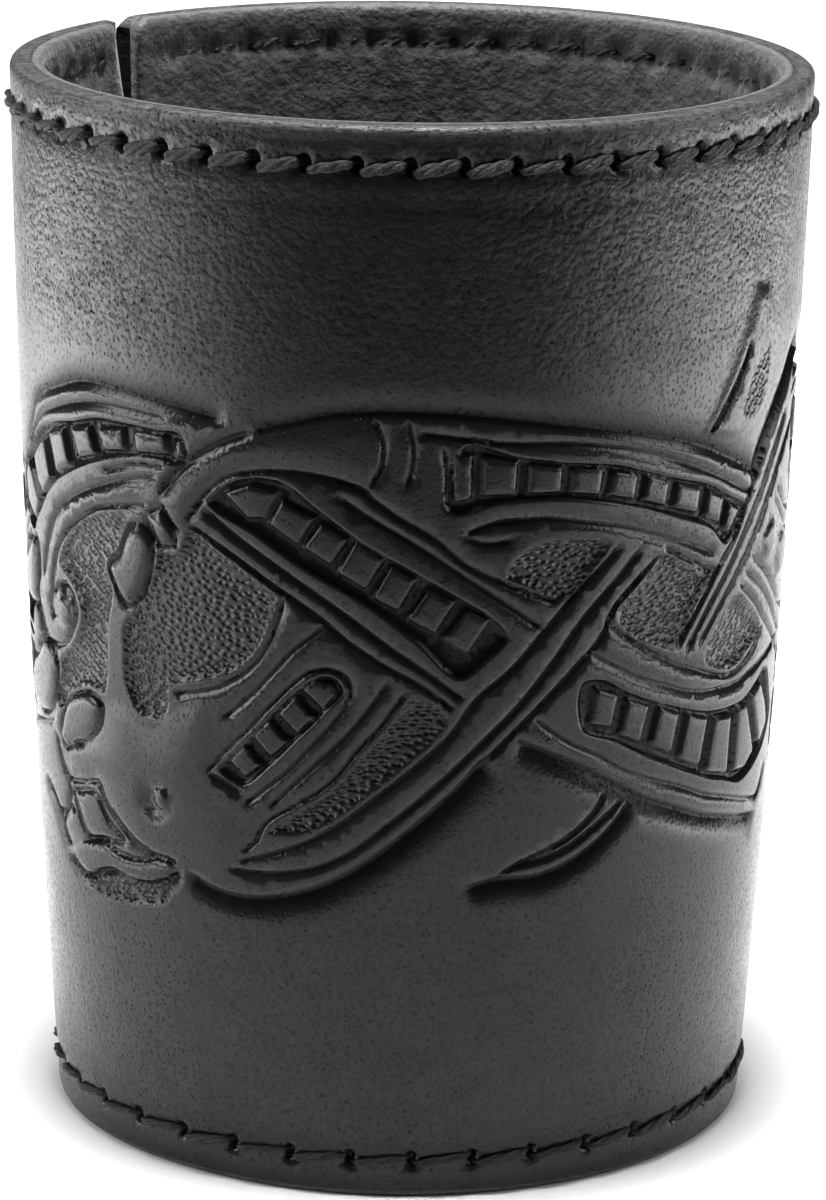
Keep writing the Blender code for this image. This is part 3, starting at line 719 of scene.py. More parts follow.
# %% The sheet's triangles
flat_net = geometry.delaunay_2d_cdt([Vector(p) for p in sheet], [], [], 0, 1e-6, False)
skin_points, skin_faces = flat_net[0], flat_net[2]
skin_points = np.array([tuple(p) for p in skin_points])
skin_faces = np.array(skin_faces, int)
a, b, c = (skin_points[skin_faces[:, k]] for k in range(3))
turned = (b[:, 0] - a[:, 0]) * (c[:, 1] - a[:, 1]) - (b[:, 1] - a[:, 1]) * (c[:, 0] - a[:, 0])
skin_faces[turned < 0] = skin_faces[turned < 0][:, ::-1]
rise, matted, shade = tooled(skin_points)
print(f"{len(skin_points)} points, {len(skin_faces)} triangles, deepest {rise.min():.2f} mm")

# %% [markdown]
# The sheet is wrapped round the cup's shape. One end is skived thin towards the inside and the
# other is tucked just past it, as at the real butted seam, and slow waves keep it from looking
# turned on a lathe.

# %% Wrapping the sheet
def clear_selection():
    if bpy.context.object and bpy.context.object.mode != "OBJECT":
        bpy.ops.object.mode_set(mode="OBJECT")
    bpy.ops.object.select_all(action="DESELECT")


def skive(v):
    """How far the seam's thinned end is cut back at its inner side, in mm."""
    return 3.2 * ease((np.asarray(v) - 80) / 20) + 0.7


def wrapped_place(u, v, depth):
    """A place on the cup, with the wall's first end skived back towards its inner side."""
    deep = np.clip(depth / LINING_IN, 0, 1)
    from_start, from_end = u - SEAM_U, SEAM_U + ROUND - u
    back = skive(v) * deep * np.clip(1 - from_start / 12, 0, 1)
    tuck = 0.12 * np.clip(depth / 0.2, 0, 1) * np.clip(1 - from_end / 2, 0, 1)
    trim = 0.35 * np.clip(1 - from_start / 1.1, 0, 1) + 0.9 * np.clip(1 - from_end / 1.6, 0, 1)
    level = v - trim * np.clip((v - 97) / 3, 0, 1)
    dip = 0.2 * np.exp(-np.minimum(from_start, from_end) / 0.25) * (1 - deep)
    return on_cup(u + back + tuck, level, depth + dip)


def piece_from(name, places, faces):
    """A new smooth piece from its points and faces."""
    mesh = bpy.data.meshes.new(name)
    mesh.from_pydata([tuple(p) for p in places], [], [tuple(f) for f in faces])
    mesh.validate()
    piece = bpy.data.objects.new(name, mesh)
    bpy.context.collection.objects.link(piece)
    mesh.shade_smooth()
    return piece


def give_attribute(piece, name, values):
    layer = piece.data.attributes.new(name, "FLOAT", "POINT")
    layer.data.foreach_set("value", np.asarray(values, np.float32))


waves = np.random.default_rng(3).uniform(-1, 1, (9, 4))


def hand_made(u, v):
    """Slow unevenness of a wall that was shaped by hand, in mm."""
    total = 0.0
    for x, y, turn, size in waves:
        around = round(2 + 5 * abs(x)) * u / SHEET_RADIUS
        total = total + size * np.sin(around + v * (0.04 + 0.05 * y) + 3 * turn)
    return 0.035 * total


skin_u, skin_v = skin_points.T
skin_places = wrapped_place(skin_u, skin_v, -rise - hand_made(skin_u, skin_v))
print(f"wrapped sheet: {np.ptp(skin_places[:, 0]) / MM:.1f} x {np.ptp(skin_places[:, 1]) / MM:.1f} mm")

# %% [markdown]
# The sheet gets its thickness from rings of points that run from the tooled side over the cut
# edge at the rim, down the flesh side and back round the foot. Each ring is a depth and a height.

# %% The wall's edges and flesh side
EDGE_STATIONS = [(0.03, 99.45), (0.14, 99.72), (0.34, 99.9), (0.6, 99.98), (1.0, 100.0), (1.5, 100.0)]
EDGE_STATIONS += [(2.04, 99.99)] + [(WALL_IN, v) for v in (99.8, 98.5, 93, 85, 75, 62, 50, 38, 25, 12, 5, 1.0)]
EDGE_STATIONS += [(1.95, 0.4), (1.6, 0.12), (1.0, 0.0), (0.45, 0.05), (0.15, 0.2), (0.03, 0.42)]
top_row = [int(i) for i in np.lexsort((skin_u, -skin_v))[:COLUMNS + 1]]
low_row = [int(i) for i in np.lexsort((skin_u, skin_v))[:COLUMNS + 1]]
ring_places, rings = [], [top_row]
for depth, v in EDGE_STATIONS:
    first = len(skin_places) + len(ring_places)
    ring_depth = np.full(COLUMNS + 1, depth) - hand_made(across, v)
    ring_places += list(wrapped_place(across, np.full(COLUMNS + 1, v), ring_depth))
    rings.append(list(range(first, first + COLUMNS + 1)))
rings.append(low_row)
faces = [tuple(f) for f in skin_faces]
for near_ring, far_ring in zip(rings[:-1], rings[1:]):
    for k in range(COLUMNS):
        faces.append((near_ring[k], near_ring[k + 1], far_ring[k + 1], far_ring[k]))
first_side = sorted(np.nonzero(skin_u < SEAM_U + 1e-4)[0].tolist(), key=lambda i: skin_v[i])
last_side = sorted(np.nonzero(skin_u > seam_end - 1e-4)[0].tolist(), key=lambda i: skin_v[i])
faces.append(first_side + [ring[0] for ring in rings[1:-1]])
faces.append((last_side + [ring[-1] for ring in rings[1:-1]])[::-1])
tooled_wall = piece_from("tooled_wall", np.vstack([skin_places, ring_places]), faces)


def give_sheet_map(piece, u, v):
    """A UV map that holds the flat sheet's millimetres, a hundred to the unit."""
    corners = np.zeros(len(piece.data.loops), int)
    piece.data.loops.foreach_get("vertex_index", corners)
    layer = piece.data.uv_layers.new(name="sheet")
    layer.data.foreach_set("uv", (np.stack([u, v], -1)[corners] / 100).ravel())


def on_all(skin_values, station_values):
    """Values for the sheet's own points, followed by one value for each ring."""
    return np.concatenate([skin_values, np.repeat(station_values, COLUMNS + 1)])


map_u = np.concatenate([skin_u, np.tile(across, len(EDGE_STATIONS))])
map_v = on_all(skin_v, [v + min(depth, WALL_IN) if v > 98 else v for depth, v in EDGE_STATIONS])
cut_edge = [1.0 if v > 98 or v < 0.45 else 0.0 for _, v in EDGE_STATIONS]
flesh = [1.0 if depth == WALL_IN and v < 99 else 0.0 for depth, v in EDGE_STATIONS]
nothing = np.zeros(len(EDGE_STATIONS))
give_sheet_map(tooled_wall, map_u, map_v)
give_attribute(tooled_wall, "matted", on_all(matted, nothing))
give_attribute(tooled_wall, "shade", on_all(shade, nothing))
give_attribute(tooled_wall, "cut_edge", on_all(ease((skin_v - 98.9) / 0.6), cut_edge))
give_attribute(tooled_wall, "flesh", on_all(np.zeros(len(skin_u)), flesh))
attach(tooled_wall, "root")
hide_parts("outer_wall")
print("tooled wall:", len(tooled_wall.data.polygons), "faces")

# %% [markdown]
# The lining is a thinner suede sheet, flesh side in. A flat grid is laid out, wrapped round
# inside the wall, face and back in one, as the real one is cut flat and rolled in. Its upper end meets
# the wall's at the rim, where both are sanded and burnished as one edge.

# %% Suede lining
LINING_BACK, LINING_TURNS = 2.07, 260
stations = [(LINING_BACK, v) for v in (0.1, 20, 40, 60, 80, 96, 99.8)]
stations += [(2.12, 99.98), (2.4, 99.98), (2.7, 99.95), (2.93, 99.83), (3.1, 99.6), (3.18, 99.3),
             (LINING_IN, 98.9)]
stations += [(LINING_IN, v) for v in np.linspace(98.3, 84, 26)]
stations += [(LINING_IN, v) for v in np.linspace(82.8, 0.1, 52)]
stations += [(LINING_BACK, 0.1)]
clear_selection()
bpy.ops.mesh.primitive_grid_add(x_subdivisions=LINING_TURNS, y_subdivisions=len(stations) - 1, size=1)
lining = bpy.context.object
lining.name = "suede_wall"
places = np.zeros(len(lining.data.vertices) * 3)
lining.data.vertices.foreach_get("co", places)
places = places.reshape(-1, 3)
share_u = (places[:, 0] - places[:, 0].min()) / np.ptp(places[:, 0])
share_v = (places[:, 1] - places[:, 1].min()) / np.ptp(places[:, 1])
lining_u = SEAM_U + share_u * ROUND
station = np.rint(share_v * (len(stations) - 1)).astype(int)
lining_depth, lining_v = np.array(stations, float)[station].T
nap = np.random.default_rng(11)
pits = np.zeros(len(lining_u))
for hole in rim_turns * SHEET_RADIUS:
    gap = np.hypot((lining_u - hole) / 0.9, (lining_v - RIM_ROW) / 1.2)
    pits = np.maximum(pits, 0.7 * ease(1.3 - gap))
pits = np.maximum(pits, 0.12 * np.exp(-((lining_v - RIM_ROW) / 1.1) ** 2))
inner = lining_depth > 3.15
tufts = nap.uniform(-0.04, 0.04, len(lining_u))
depth = lining_depth - hand_made(lining_u, lining_v) - np.where(inner, pits + tufts, 0)
lining.data.vertices.foreach_set("co", wrapped_place(lining_u, lining_v, depth).ravel())
give_attribute(lining, "cut_edge", np.where(lining_v > 99.2, 1.0, 0.0) * (lining_depth > LINING_BACK))
bpy.ops.object.mode_set(mode="EDIT")
bpy.ops.mesh.select_all(action="SELECT")
bpy.ops.mesh.remove_doubles(threshold=0.00001)
bpy.ops.mesh.select_all(action="DESELECT")
bpy.ops.mesh.select_mode(type="EDGE")
bpy.ops.mesh.select_non_manifold()
bpy.ops.mesh.fill_holes(sides=0)
bpy.ops.mesh.select_all(action="SELECT")
bpy.ops.mesh.normals_make_consistent(inside=False)
bpy.ops.object.mode_set(mode="OBJECT")
lining.data.shade_smooth()
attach(lining, "root")
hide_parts("wall_lining")
print("suede lining:", len(lining.data.polygons), "faces")

# %% [markdown]
# The base is a disc of firm leather whose margin was wetted and turned down over a block, so it
# makes a shallow tray, sewn in through the wall. It starts as a cylinder; its lower face is
# inset and pushed up for the hollow, and its corners are rounded with bevels.

# %% Base
FLOOR_TOP, FLANGE_FOOT, BASE_OUT = 8.5, 0.5, 3.5


def select_faces(piece, test):
    """In edit mode, selects the faces whose middle and normal pass a test."""
    bpy.ops.mesh.select_all(action="DESELECT")
    bpy.ops.object.mode_set(mode="OBJECT")
    for face in piece.data.polygons:
        face.select = bool(test(face.center, face.normal))
    bpy.ops.object.mode_set(mode="EDIT")
    bpy.ops.mesh.select_mode(type="FACE")


def round_edges(piece, name, width, angle):
    """Bevels the edges that are sharper than an angle."""
    modifier = piece.modifiers.new(name, "BEVEL")
    modifier.width = width * MM
    modifier.segments = 4
    modifier.limit_method = "ANGLE"
    modifier.angle_limit = math.radians(angle)
    bpy.ops.object.modifier_apply(modifier=name)


clear_selection()
base_radius = (outer_radius(FLANGE_FOOT) - BASE_OUT) * MM
bpy.ops.mesh.primitive_cylinder_add(vertices=144, radius=base_radius, depth=(FLOOR_TOP - FLANGE_FOOT) * MM,
                                    location=(0, 0, (FLOOR_TOP + FLANGE_FOOT) / 2 * MM), end_fill_type="NGON")
base = bpy.context.object
base.name = "sewn_base"
bpy.ops.object.mode_set(mode="EDIT")
select_faces(base, lambda middle, normal: normal.z < -0.9)
bpy.ops.mesh.inset(thickness=2.0 * MM, depth=0)
bpy.ops.mesh.extrude_region_move(TRANSFORM_OT_translate={"value": (0, 0, 6.0 * MM)})
bpy.ops.transform.resize(value=(0.99, 0.99, 1))
bpy.ops.mesh.inset(thickness=3.0 * MM, depth=0)
bpy.ops.mesh.inset(thickness=8.0 * MM, depth=0.12 * MM)
bpy.ops.mesh.inset(thickness=9.0 * MM, depth=0.06 * MM)
select_faces(base, lambda middle, normal: normal.z > 0.9 and middle.z > 4 * MM)
widening = (outer_radius(FLOOR_TOP) - BASE_OUT) / (outer_radius(FLANGE_FOOT) - BASE_OUT)
bpy.ops.transform.resize(value=(widening, widening, 1))
bpy.ops.mesh.inset(thickness=2.2 * MM, depth=0)
bpy.ops.mesh.inset(thickness=10 * MM, depth=0)
bpy.ops.object.mode_set(mode="OBJECT")
bpy.ops.object.transform_apply(location=True, rotation=True, scale=True)
round_edges(base, "Rounding", 0.6, 40)
bpy.ops.object.shade_smooth_by_angle(angle=math.radians(40))
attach(base, "root")
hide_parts("base_disc")
print("base:", len(base.data.polygons), "faces, box", [round(x / MM, 1) for x in base.dimensions])

# %% [markdown]
# A loose-fibred suede pad is glued on the floor to quieten the dice. It is a flat disc with a
# rolled upper edge and a floor that has been knocked very slightly uneven by use.

# %% Pad
clear_selection()
PAD_FOOT = 8.8
pad_radius = outer_radius(PAD_FOOT) - BASE_OUT
bpy.ops.mesh.primitive_circle_add(vertices=96, radius=pad_radius * MM, fill_type="NGON",
                                  location=(0, 0, PAD_FOOT * MM))
pad = bpy.context.object
pad.name = "floor_pad"
bpy.ops.object.mode_set(mode="EDIT")
bpy.ops.mesh.select_all(action="SELECT")
bpy.ops.mesh.extrude_region_move(TRANSFORM_OT_translate={"value": (0, 0, 1.2 * MM)})
for step in range(14):
    bpy.ops.mesh.inset(thickness=pad_radius / 16 * MM, depth=0)
bpy.ops.object.mode_set(mode="OBJECT")
bpy.ops.object.transform_apply(location=True, rotation=True, scale=True)
round_edges(pad, "Rolled edge", 0.4, 50)
for point in pad.data.vertices:
    far = math.hypot(point.co.x, point.co.y) / MM
    if point.co.z > 9.9 * MM and far < pad_radius - 1:
        dents = math.sin(point.co.x / MM * 0.4 + 1) * math.sin(point.co.y / MM * 0.33)
        point.co.z += 0.07 * MM * dents * (1 - far / pad_radius)
bpy.ops.object.shade_smooth_by_angle(angle=math.radians(40))
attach(pad, "root")
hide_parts("base_pad")
print("pad:", len(pad.data.polygons), "faces")

# %% [markdown]
# The rows are saddle-stitched with waxed thread of three strands. One stitch is made once: three
# strands twist round its path, which comes out of the low place in one awl hole, lies on the
# leather, and dives into the high place in the next. It is then copied along the row.

# %% One stitch
def strand_stitch(name, span, lift, thick, rise, sink=1.1):
    """A stitch on flat leather: x along the row, y outwards, z up, in millimetres."""
    strands = []
    for strand in range(3):
        curve = bpy.data.curves.new(name, "CURVE")
        curve.dimensions = "3D"
        curve.bevel_depth = thick * 0.31
        curve.bevel_resolution = 1
        curve.use_fill_caps = True
        spline = curve.splines.new("POLY")
        steps = 17
        spline.points.add(steps - 1)
        for k in range(steps):
            t = k / (steps - 1)
            x = span * (t - 0.5) * 0.99
            ends = max(0.0, 1 - min(t, 1 - t) / 0.16)
            y = lift * (1 + 0.12 * math.sin(math.pi * t)) - (sink + lift) * ends ** 2.0
            z = rise * (t - 0.5) * (1.15 if ends == 0 else 1.1)
            fat = thick * (0.15 + 0.1 * math.sin(math.pi * t))
            turn = math.tau * (strand / 3 + 0.8 * t)
            spline.points[k].co = (x, y + fat * math.cos(turn), z + fat * 1.1 * math.sin(turn), 1)
            spline.points[k].radius = 0.85 + 0.25 * math.sin(math.pi * t)
        one = bpy.data.objects.new(name, curve)
        bpy.context.collection.objects.link(one)
        strands.append(one)
    clear_selection()
    for one in strands:
        one.select_set(True)
    bpy.context.view_layer.objects.active = strands[0]
    bpy.ops.object.convert(target="MESH")
    bpy.ops.object.join()
    made = bpy.context.object
    places = np.array([tuple(p.co) for p in made.data.vertices])
    faces = [tuple(face.vertices) for face in made.data.polygons]
    bpy.data.objects.remove(made, do_unlink=True)
    return places, faces


def sewn_row(stitch, turns, height, depth, side, closed=False):
    """Copies of a stitch between neighbouring holes, on the outside (side 1) or the inside (-1)."""
    places, faces = stitch
    all_places, all_faces = [], []
    stops = list(turns) + ([turns[0] + math.tau] if closed else [])
    careful = np.random.default_rng(5 + side)
    for this, following in zip(stops[:-1], stops[1:]):
        middle = (this + following) / 2
        radius = outer_radius(height) - depth
        nudge = careful.uniform(-1, 1, 4)
        x = places[:, 0] * (following - this) * radius / np.ptp(places[:, 0]) * 0.995
        z = places[:, 2] * (1 + 0.25 * nudge[0]) + 0.08 * nudge[1]
        y = places[:, 1] + 0.05 * nudge[2]
        turn = middle + x / radius
        out = radius + side * y
        level = height + z * side
        all_faces += [tuple(np.array(face[::side]) + len(places) * len(all_places)) for face in faces]
        all_places.append(np.stack([out * np.sin(turn), -out * np.cos(turn), level], -1) * MM)
    return np.vstack(all_places), all_faces


def sewn_thread(name, *parts):
    """One piece of thread from rows of stitches."""
    places, faces = [], []
    for part_places, part_faces in parts:
        start = sum(len(p) for p in places)
        places.append(part_places)
        faces += [tuple(int(i) + start for i in face) for face in part_faces]
    return piece_from(name, np.vstack(places), faces)


rim_span = np.diff(rim_turns)[0] * outer_radius(RIM_ROW)
base_span = np.diff(base_turns)[0] * outer_radius(BASE_ROW)
rim_stitch = strand_stitch("rim_stitch", rim_span, 0.1, 0.92, 0.7)
base_stitch = strand_stitch("base_stitch", base_span, -0.05, 0.66, 0.6, 0.9)
PULLED_IN = 0.65  # the inner rim stitches sink into the suede
rim_sewing = sewn_thread(
    "rim_sewing", sewn_row(rim_stitch, rim_turns, RIM_ROW, 0, 1),
    sewn_row(rim_stitch, rim_turns, RIM_ROW, LINING_IN - PULLED_IN, -1))
base_sewing = sewn_thread(
    "base_sewing", sewn_row(base_stitch, base_turns, BASE_ROW, 0, 1, True),
    sewn_row(base_stitch, base_turns, BASE_ROW, FLANGE_IN, -1, True))
for sewing, node in ((rim_sewing, "rim_thread"), (base_sewing, "base_thread")):
    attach(sewing, "root")
    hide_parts(node)
    print(sewing.name, len(sewing.data.polygons), "faces")

# %% [markdown]
# Materials are written as sums. A small class wraps a socket, so that a Python expression on
# sockets adds the Math nodes, and one method adds any other node.

# %% Node arithmetic
class Amount:
    """One number of a material that varies over the surface."""

    def __init__(self, finish, socket):
        self.finish, self.socket = finish, socket

    def maths(self, operation, *values):
        return self.finish.node("ShaderNodeMath", {"operation": operation}, dict(enumerate(values)))

    def __add__(self, other):
        return self.maths("ADD", self, other)

    def __mul__(self, other):
        return self.maths("MULTIPLY", self, other)

    def __sub__(self, other):
        return self.maths("SUBTRACT", self, other)

    def __rsub__(self, other):
        return self.maths("SUBTRACT", other, self)

    __radd__, __rmul__ = __add__, __mul__

    def between(self, low, high):
        """0 below one value and 1 above another, softly."""
        return self.finish.node("ShaderNodeMapRange", {"interpolation_type": "SMOOTHSTEP"},
                                {"Value": self, "From Min": low, "From Max": high})


class Finish:
    """A material and its nodes."""

    def __init__(self, name):
        self.material = bpy.data.materials.new(name)
        self.material.use_nodes = True
        self.tree = self.material.node_tree
        self.shader = self.tree.nodes["Principled BSDF"]
        self.place = self.node("ShaderNodeTexCoord", {}, {}, "Object")

    def node(self, kind, settings, values, output=0):
        """Any node, with its settings and what goes into its sockets."""
        node = self.tree.nodes.new(kind)
        for name, value in settings.items():
            setattr(node, name, value)
        for name, value in values.items():
            self.feed(node.inputs[name], value)
        return Amount(self, node.outputs[output])

    def feed(self, socket, value):
        if isinstance(value, Amount):
            self.tree.links.new(value.socket, socket)
        else:
            socket.default_value = value

    def noise(self, scale, detail=3.0, place=None, **more):
        values = {"Vector": place or self.place, "Scale": scale, "Detail": detail}
        return self.node("ShaderNodeTexNoise", {}, {**values, **more})

    def cells(self, scale, place=None, dimensions="3D", **more):
        """Distance to the nearest of many scattered points, in space or on the flat sheet."""
        settings = {"voronoi_dimensions": dimensions, "feature": "F1"}
        values = {"Vector": place or self.place, "Scale": scale}
        return self.node("ShaderNodeTexVoronoi", settings, {**values, **more})

    def attribute(self, name):
        return self.node("ShaderNodeAttribute", {"attribute_name": name}, {}, "Fac")

    def height(self):
        return self.node("ShaderNodeSeparateXYZ", {}, {"Vector": self.place}, "Z")

    def stretched(self, scale):
        return self.node("ShaderNodeMapping", {}, {"Vector": self.place, "Scale": scale})

    def mix(self, share, first, second):
        return self.node("ShaderNodeMix", {"data_type": "RGBA"}, {"Factor": share, 6: first, 7: second}, 2)

    def bump(self, height, distance, strength=1.0, under=None):
        values = {"Height": height, "Distance": distance, "Strength": strength}
        if under is not None:
            values["Normal"] = under
        return self.node("ShaderNodeBump", {}, values)

    def set(self, **values):
        """Feeds the shader's own sockets; an underscore stands for a space in their names."""
        for name, value in values.items():
            self.feed(self.shader.inputs[name.replace("_", " ")], value)
        return self.material

    def add_painted_shade(self, share):
        """Mixes a dull black shader in by a share: painted shade for pores, creases and deep cuts."""
        painted_shade_shader = self.node("ShaderNodeBsdfPrincipled", {},
                         {"Base Color": grey(0.004), "Roughness": 1.0, "Specular IOR Level": 0.0})
        both = self.node("ShaderNodeMixShader", {}, {"Fac": share})
        self.tree.links.new(self.shader.outputs[0], both.socket.node.inputs[1])
        self.tree.links.new(painted_shade_shader.socket, both.socket.node.inputs[2])
        self.tree.links.new(both.socket, self.tree.nodes["Material Output"].inputs["Surface"])


def grey(value):
    return (value, value, value, 1.0)


def dress(piece, material):
    """Puts one material on a whole piece."""
    piece.data.materials.clear()
    piece.data.materials.append(material)


print("materials can be written as sums")

# %% [markdown]
# The wall is drum-dyed black cowhide with a waxy, half-gloss finish. Pebbled grain shows where
# the leather was left alone, it is pressed flat around the figure, and the grounds are stippled
# with a matting tool. Fine pores pass through all of it. Pores, creases and the deeper cuts get
# painted shade: a dull black shader is mixed in there, where shade falls in the recesses.

# %% Tooled leather
leather = Finish("tooled_leather")
level = leather.height()
matting = leather.attribute("matted")
edge_mask = leather.attribute("cut_edge")
flesh_mask = leather.attribute("flesh")
upper = level.between(0.0745, 0.080)
lower = 1 - level.between(0.022, 0.034)
patch = leather.noise(70.0, 2.0).between(0.35, 0.65)
grain_where = upper * (0.55 + patch * 0.45) + lower * 0.3 + 0.1
on_sheet = leather.node("ShaderNodeUVMap", {"uv_map": "sheet"}, {})
pebble = 1 - leather.cells(140.0, on_sheet, "2D").between(0.1, 0.85)
creases = leather.noise(420.0, 4.0, Distortion=0.5).between(0.42, 0.5)
pores = leather.cells(165.0, on_sheet, "2D").between(0.12, 0.3)
big_pores = leather.cells(88.0, on_sheet, "2D").between(0.08, 0.19)
slanted = {"Vector": on_sheet, "Rotation": (0, 0, 0.6), "Scale": (1.0, 1.45, 1.0)}
slanted = leather.node("ShaderNodeMapping", {}, slanted)
stipple = leather.cells(118.0, slanted, "2D", Randomness=0.75).between(0.05, 0.62)
fine = leather.noise(3500.0, 3.0)
grain = (pebble * 0.24 + creases * 0.12) * grain_where + pores * 0.1 + big_pores * 0.12
surface = leather.bump(fine, 0.00001)
surface = leather.bump(grain * (1 - matting * 0.8), 0.00010, under=surface)
surface = leather.bump(stipple * matting, 0.00018, under=surface)
fibres = leather.noise(900.0, 5.0, leather.stretched((1, 1, 6)))
surface = leather.bump(fibres * edge_mask + fine * flesh_mask * 3, 0.00005, under=surface)
dust = 1 - leather.cells(330.0).between(0.0, 0.035)
tone = leather.mix(leather.noise(160.0, 5.0), grey(0.006), grey(0.013))
tone = leather.mix(edge_mask, tone, leather.mix(fibres.between(0.3, 0.7), grey(0.030), grey(0.075)))
tone = leather.mix(dust * 0.3, tone, grey(0.12))
tone = leather.mix(flesh_mask, tone, grey(0.03))
gloss = 0.12 + leather.noise(240.0, 4.0) * 0.16 + matting * 0.08 + edge_mask * 0.16
gloss = gloss + flesh_mask * 0.4 + grain_where * 0.06
tooled_leather = leather.set(Base_Color=tone, Roughness=gloss, Normal=surface, Specular_IOR_Level=0.25)
# painted shade in pores and creases, and in deep cuts and channel floors through the shade attribute
painted_pore_shade = (1 - pores) * (0.2 + grain_where * 0.3) + (1 - big_pores) * (0.25 + grain_where * 0.2)
leather.add_painted_shade(painted_pore_shade + (1 - creases) * grain_where * 0.2 + leather.attribute("shade") * 0.62)
dress(tooled_wall, tooled_leather)
print(tooled_leather.name, "has", len(leather.tree.nodes), "nodes")

# %% [markdown]
# The two ends that meet at the seam are raw cut leather, dyed black. They are the last two faces of
# the wall; they stay dull, and their colour is darkened well past the rim's cut edge as painted shadow.

# %% Raw ends at the seam, in painted shadow
raw = Finish("raw_edge_painted_shadow")
# painted shadow: far darker than the cut edge at the rim, as the seam's end face lies in shade
raw_and_shadowed_tone = raw.mix(raw.noise(900.0, 5.0), grey(0.002), grey(0.008))
raw_rough = raw.bump(raw.noise(1500.0, 4.0), 0.0001)
tooled_wall.data.materials.append(raw.set(Base_Color=raw_and_shadowed_tone, Roughness=0.85, Normal=raw_rough))
for face in tooled_wall.data.polygons[-2:]:
    face.material_index = 1
    face.use_smooth = False
print("raw ends:", len(tooled_wall.data.materials), "materials on the wall")

# %% [markdown]
# Suede is the flesh side of split leather, brushed to a nap. It is matt, blotchy where fingers
# stroked the fibres one way or the other, and a little sheen lights its edges.

# %% Suede
def suede(name, dark, light):
    """Suede between a dark and a light grey."""
    nap = Finish(name)
    edge = nap.attribute("cut_edge")
    blotch = nap.noise(380.0, 6.0).between(0.35, 0.68)
    fibre = nap.noise(2200.0, 4.0)
    tufts = nap.noise(1000.0, 5.0)
    tone = nap.mix(blotch * 0.6 + fibre * 0.4, grey(dark), grey(light))
    cut_fibres = nap.noise(900.0, 5.0, nap.stretched((1, 1, 6))).between(0.3, 0.7)
    tone = nap.mix(edge, tone, nap.mix(cut_fibres, grey(0.03), grey(0.075)))
    rough = nap.bump(tufts, 0.00032, under=nap.bump(fibre, 0.00012))
    matt = 0.62 + fibre * 0.25 - edge * 0.2
    return nap.set(Base_Color=tone, Roughness=matt, Normal=rough, Sheen_Weight=0.15)


dress(lining, suede("suede_lining", 0.007, 0.075))
dress(pad, suede("suede_pad", 0.008, 0.08))
print("suede on", lining.name, "and", pad.name)

# %% [markdown]
# The base is firm vegetable-tanned leather, dyed black, with fine pores and a few scuffs.

# %% Base leather
sole = Finish("base_leather")
sole_pores = sole.cells(1300.0).between(0.1, 0.25)
scuffs = sole.noise(60.0, 6.0, sole.stretched((1, 5, 1))).between(0.5, 0.62)
sole_tone = sole.mix(scuffs * 0.5 + sole.noise(300.0, 4.0) * 0.4, grey(0.011), grey(0.035))
dress(base, sole.set(Base_Color=sole_tone, Roughness=0.42 + scuffs * 0.2 + (1 - sole_pores) * 0.15,
                     Normal=sole.bump(sole_pores + sole.noise(900.0, 5.0), 0.00009)))
print("base leather on", base.name)

# %% [markdown]
# The thread is twisted and waxed. Wax fills the twist here and there, and lint greys it a little.
# The CAD model's own lacing of the seam wears the same material.

# %% Waxed thread
wax = Finish("waxed_thread")
twist = wax.noise(2600.0, 3.0, wax.stretched((1, 1, 2.2)))
lint = wax.noise(800.0, 4.0)
thread_tone = wax.mix(lint.between(0.4, 0.8), grey(0.006), grey(0.018))
thread = wax.set(Base_Color=thread_tone, Roughness=0.45 + twist * 0.25, Specular_IOR_Level=0.3,
                 Normal=wax.bump(twist, 0.00022))
for sewing in (rim_sewing, base_sewing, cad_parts["seam_thread"]):
    dress(sewing, thread)
    print("waxed thread on", sewing.name)

# %% [markdown]
# The cup stands on a plain sheet of white paper.

# %% Floor
clear_selection()
bpy.ops.mesh.primitive_plane_add(size=6.0, location=(0, 0, 0))
floor = bpy.context.object
floor.name = "pale_floor"
paper = Finish("pale_paper")
dress(floor, paper.set(Base_Color=paper.mix(paper.noise(30.0, 3.0), grey(0.86), grey(0.88)), Roughness=0.9))
print("floor:", floor.name)

# %% [markdown]
# On a black half-gloss wall the lights are seen mostly as reflections of the lit paper. So soft
# boxes light the paper behind the cup and to both sides, two panels brighten its edges, and the
# one above is small, for the glints along the cuts.

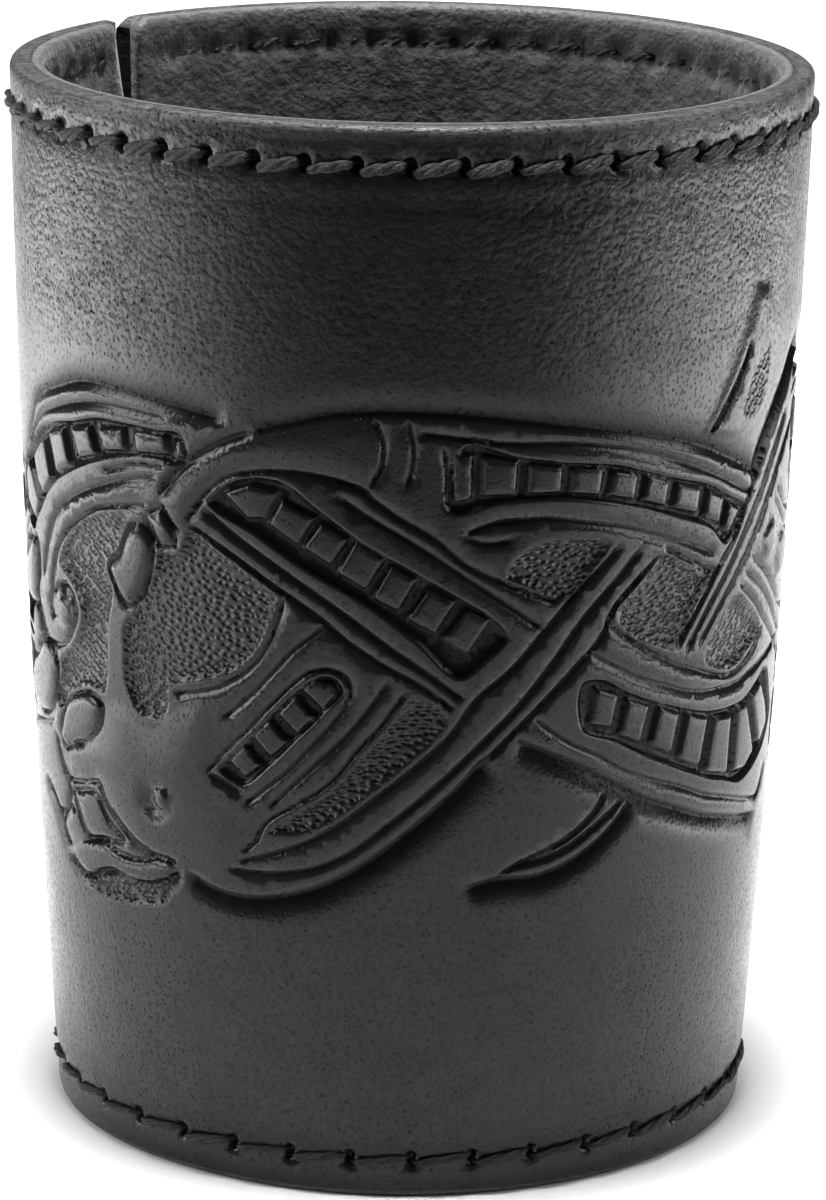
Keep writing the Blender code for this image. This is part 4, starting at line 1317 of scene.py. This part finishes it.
# %% Lights
def softbox(name, place, aim, size, power, spread):
    """A rectangular lamp that the camera doesn't see."""
    lamp = bpy.data.lights.new(name, "AREA")
    lamp.shape = "RECTANGLE"
    lamp.size, lamp.size_y = size
    lamp.energy = power
    lamp.spread = math.radians(spread)
    box = bpy.data.objects.new(name, lamp)
    bpy.context.collection.objects.link(box)
    box.location = place
    box.visible_camera = False
    box.rotation_euler = (Vector(aim) - Vector(place)).to_track_quat("-Z", "Y").to_euler()


softbox("sweep_softbox", (0, 0.36, 0.46), (0, 0.36, 0), (0.6, 0.34), 2.2, 120)
softbox("far_softbox", (0, 0.85, 0.55), (0, 0.85, 0), (0.8, 0.4), 3.0, 120)
softbox("left_softbox", (-0.34, 0.02, 0.26), (-0.34, 0.02, 0), (0.16, 0.4), 3.2, 85)
softbox("right_softbox", (0.34, 0.02, 0.26), (0.34, 0.02, 0), (0.16, 0.4), 3.2, 85)
softbox("left_panel", (-0.55, -0.04, 0.24), (0, 0, 0.07), (0.26, 0.34), 1.7, 150)
softbox("right_panel", (0.55, -0.04, 0.24), (0, 0, 0.07), (0.26, 0.34), 1.0, 150)
softbox("top_softbox", (0, -0.04, 0.62), (0, 0, 0.05), (0.12, 0.10), 0.8, 60)
room = bpy.data.worlds.new("studio")
room.use_nodes = True
room.node_tree.nodes["Background"].inputs["Color"].default_value = (1, 1, 1, 1)
room.node_tree.nodes["Background"].inputs["Strength"].default_value = 0.03
bpy.context.scene.world = room
bpy.context.scene.view_settings.view_transform = "Standard"

# %% [markdown]
# A long lens looks down a little from the front, so the rim shows as a narrow ellipse. The camera
# is rolled by less than a degree.

# %% Camera
clear_selection()
TILT, ROLL = 0.2635, 0.0144  # radians
bpy.ops.object.camera_add(location=(0, -0.46941, 0.17448), rotation=(math.pi / 2 - TILT, 0, 0))
camera = bpy.context.object
camera.rotation_mode = "QUATERNION"
camera.rotation_quaternion = Quaternion((1, 0, 0), math.pi / 2 - TILT) @ Quaternion((0, 0, 1), ROLL)
camera.data.sensor_fit = "VERTICAL"
camera.data.sensor_height = 36
camera.data.lens = 152.43
camera.data.shift_x = 0.00686667
bpy.context.scene.camera = camera
print(f"lens {camera.data.lens:.1f} mm, {camera.location.length:.3f} m from the cup's foot")
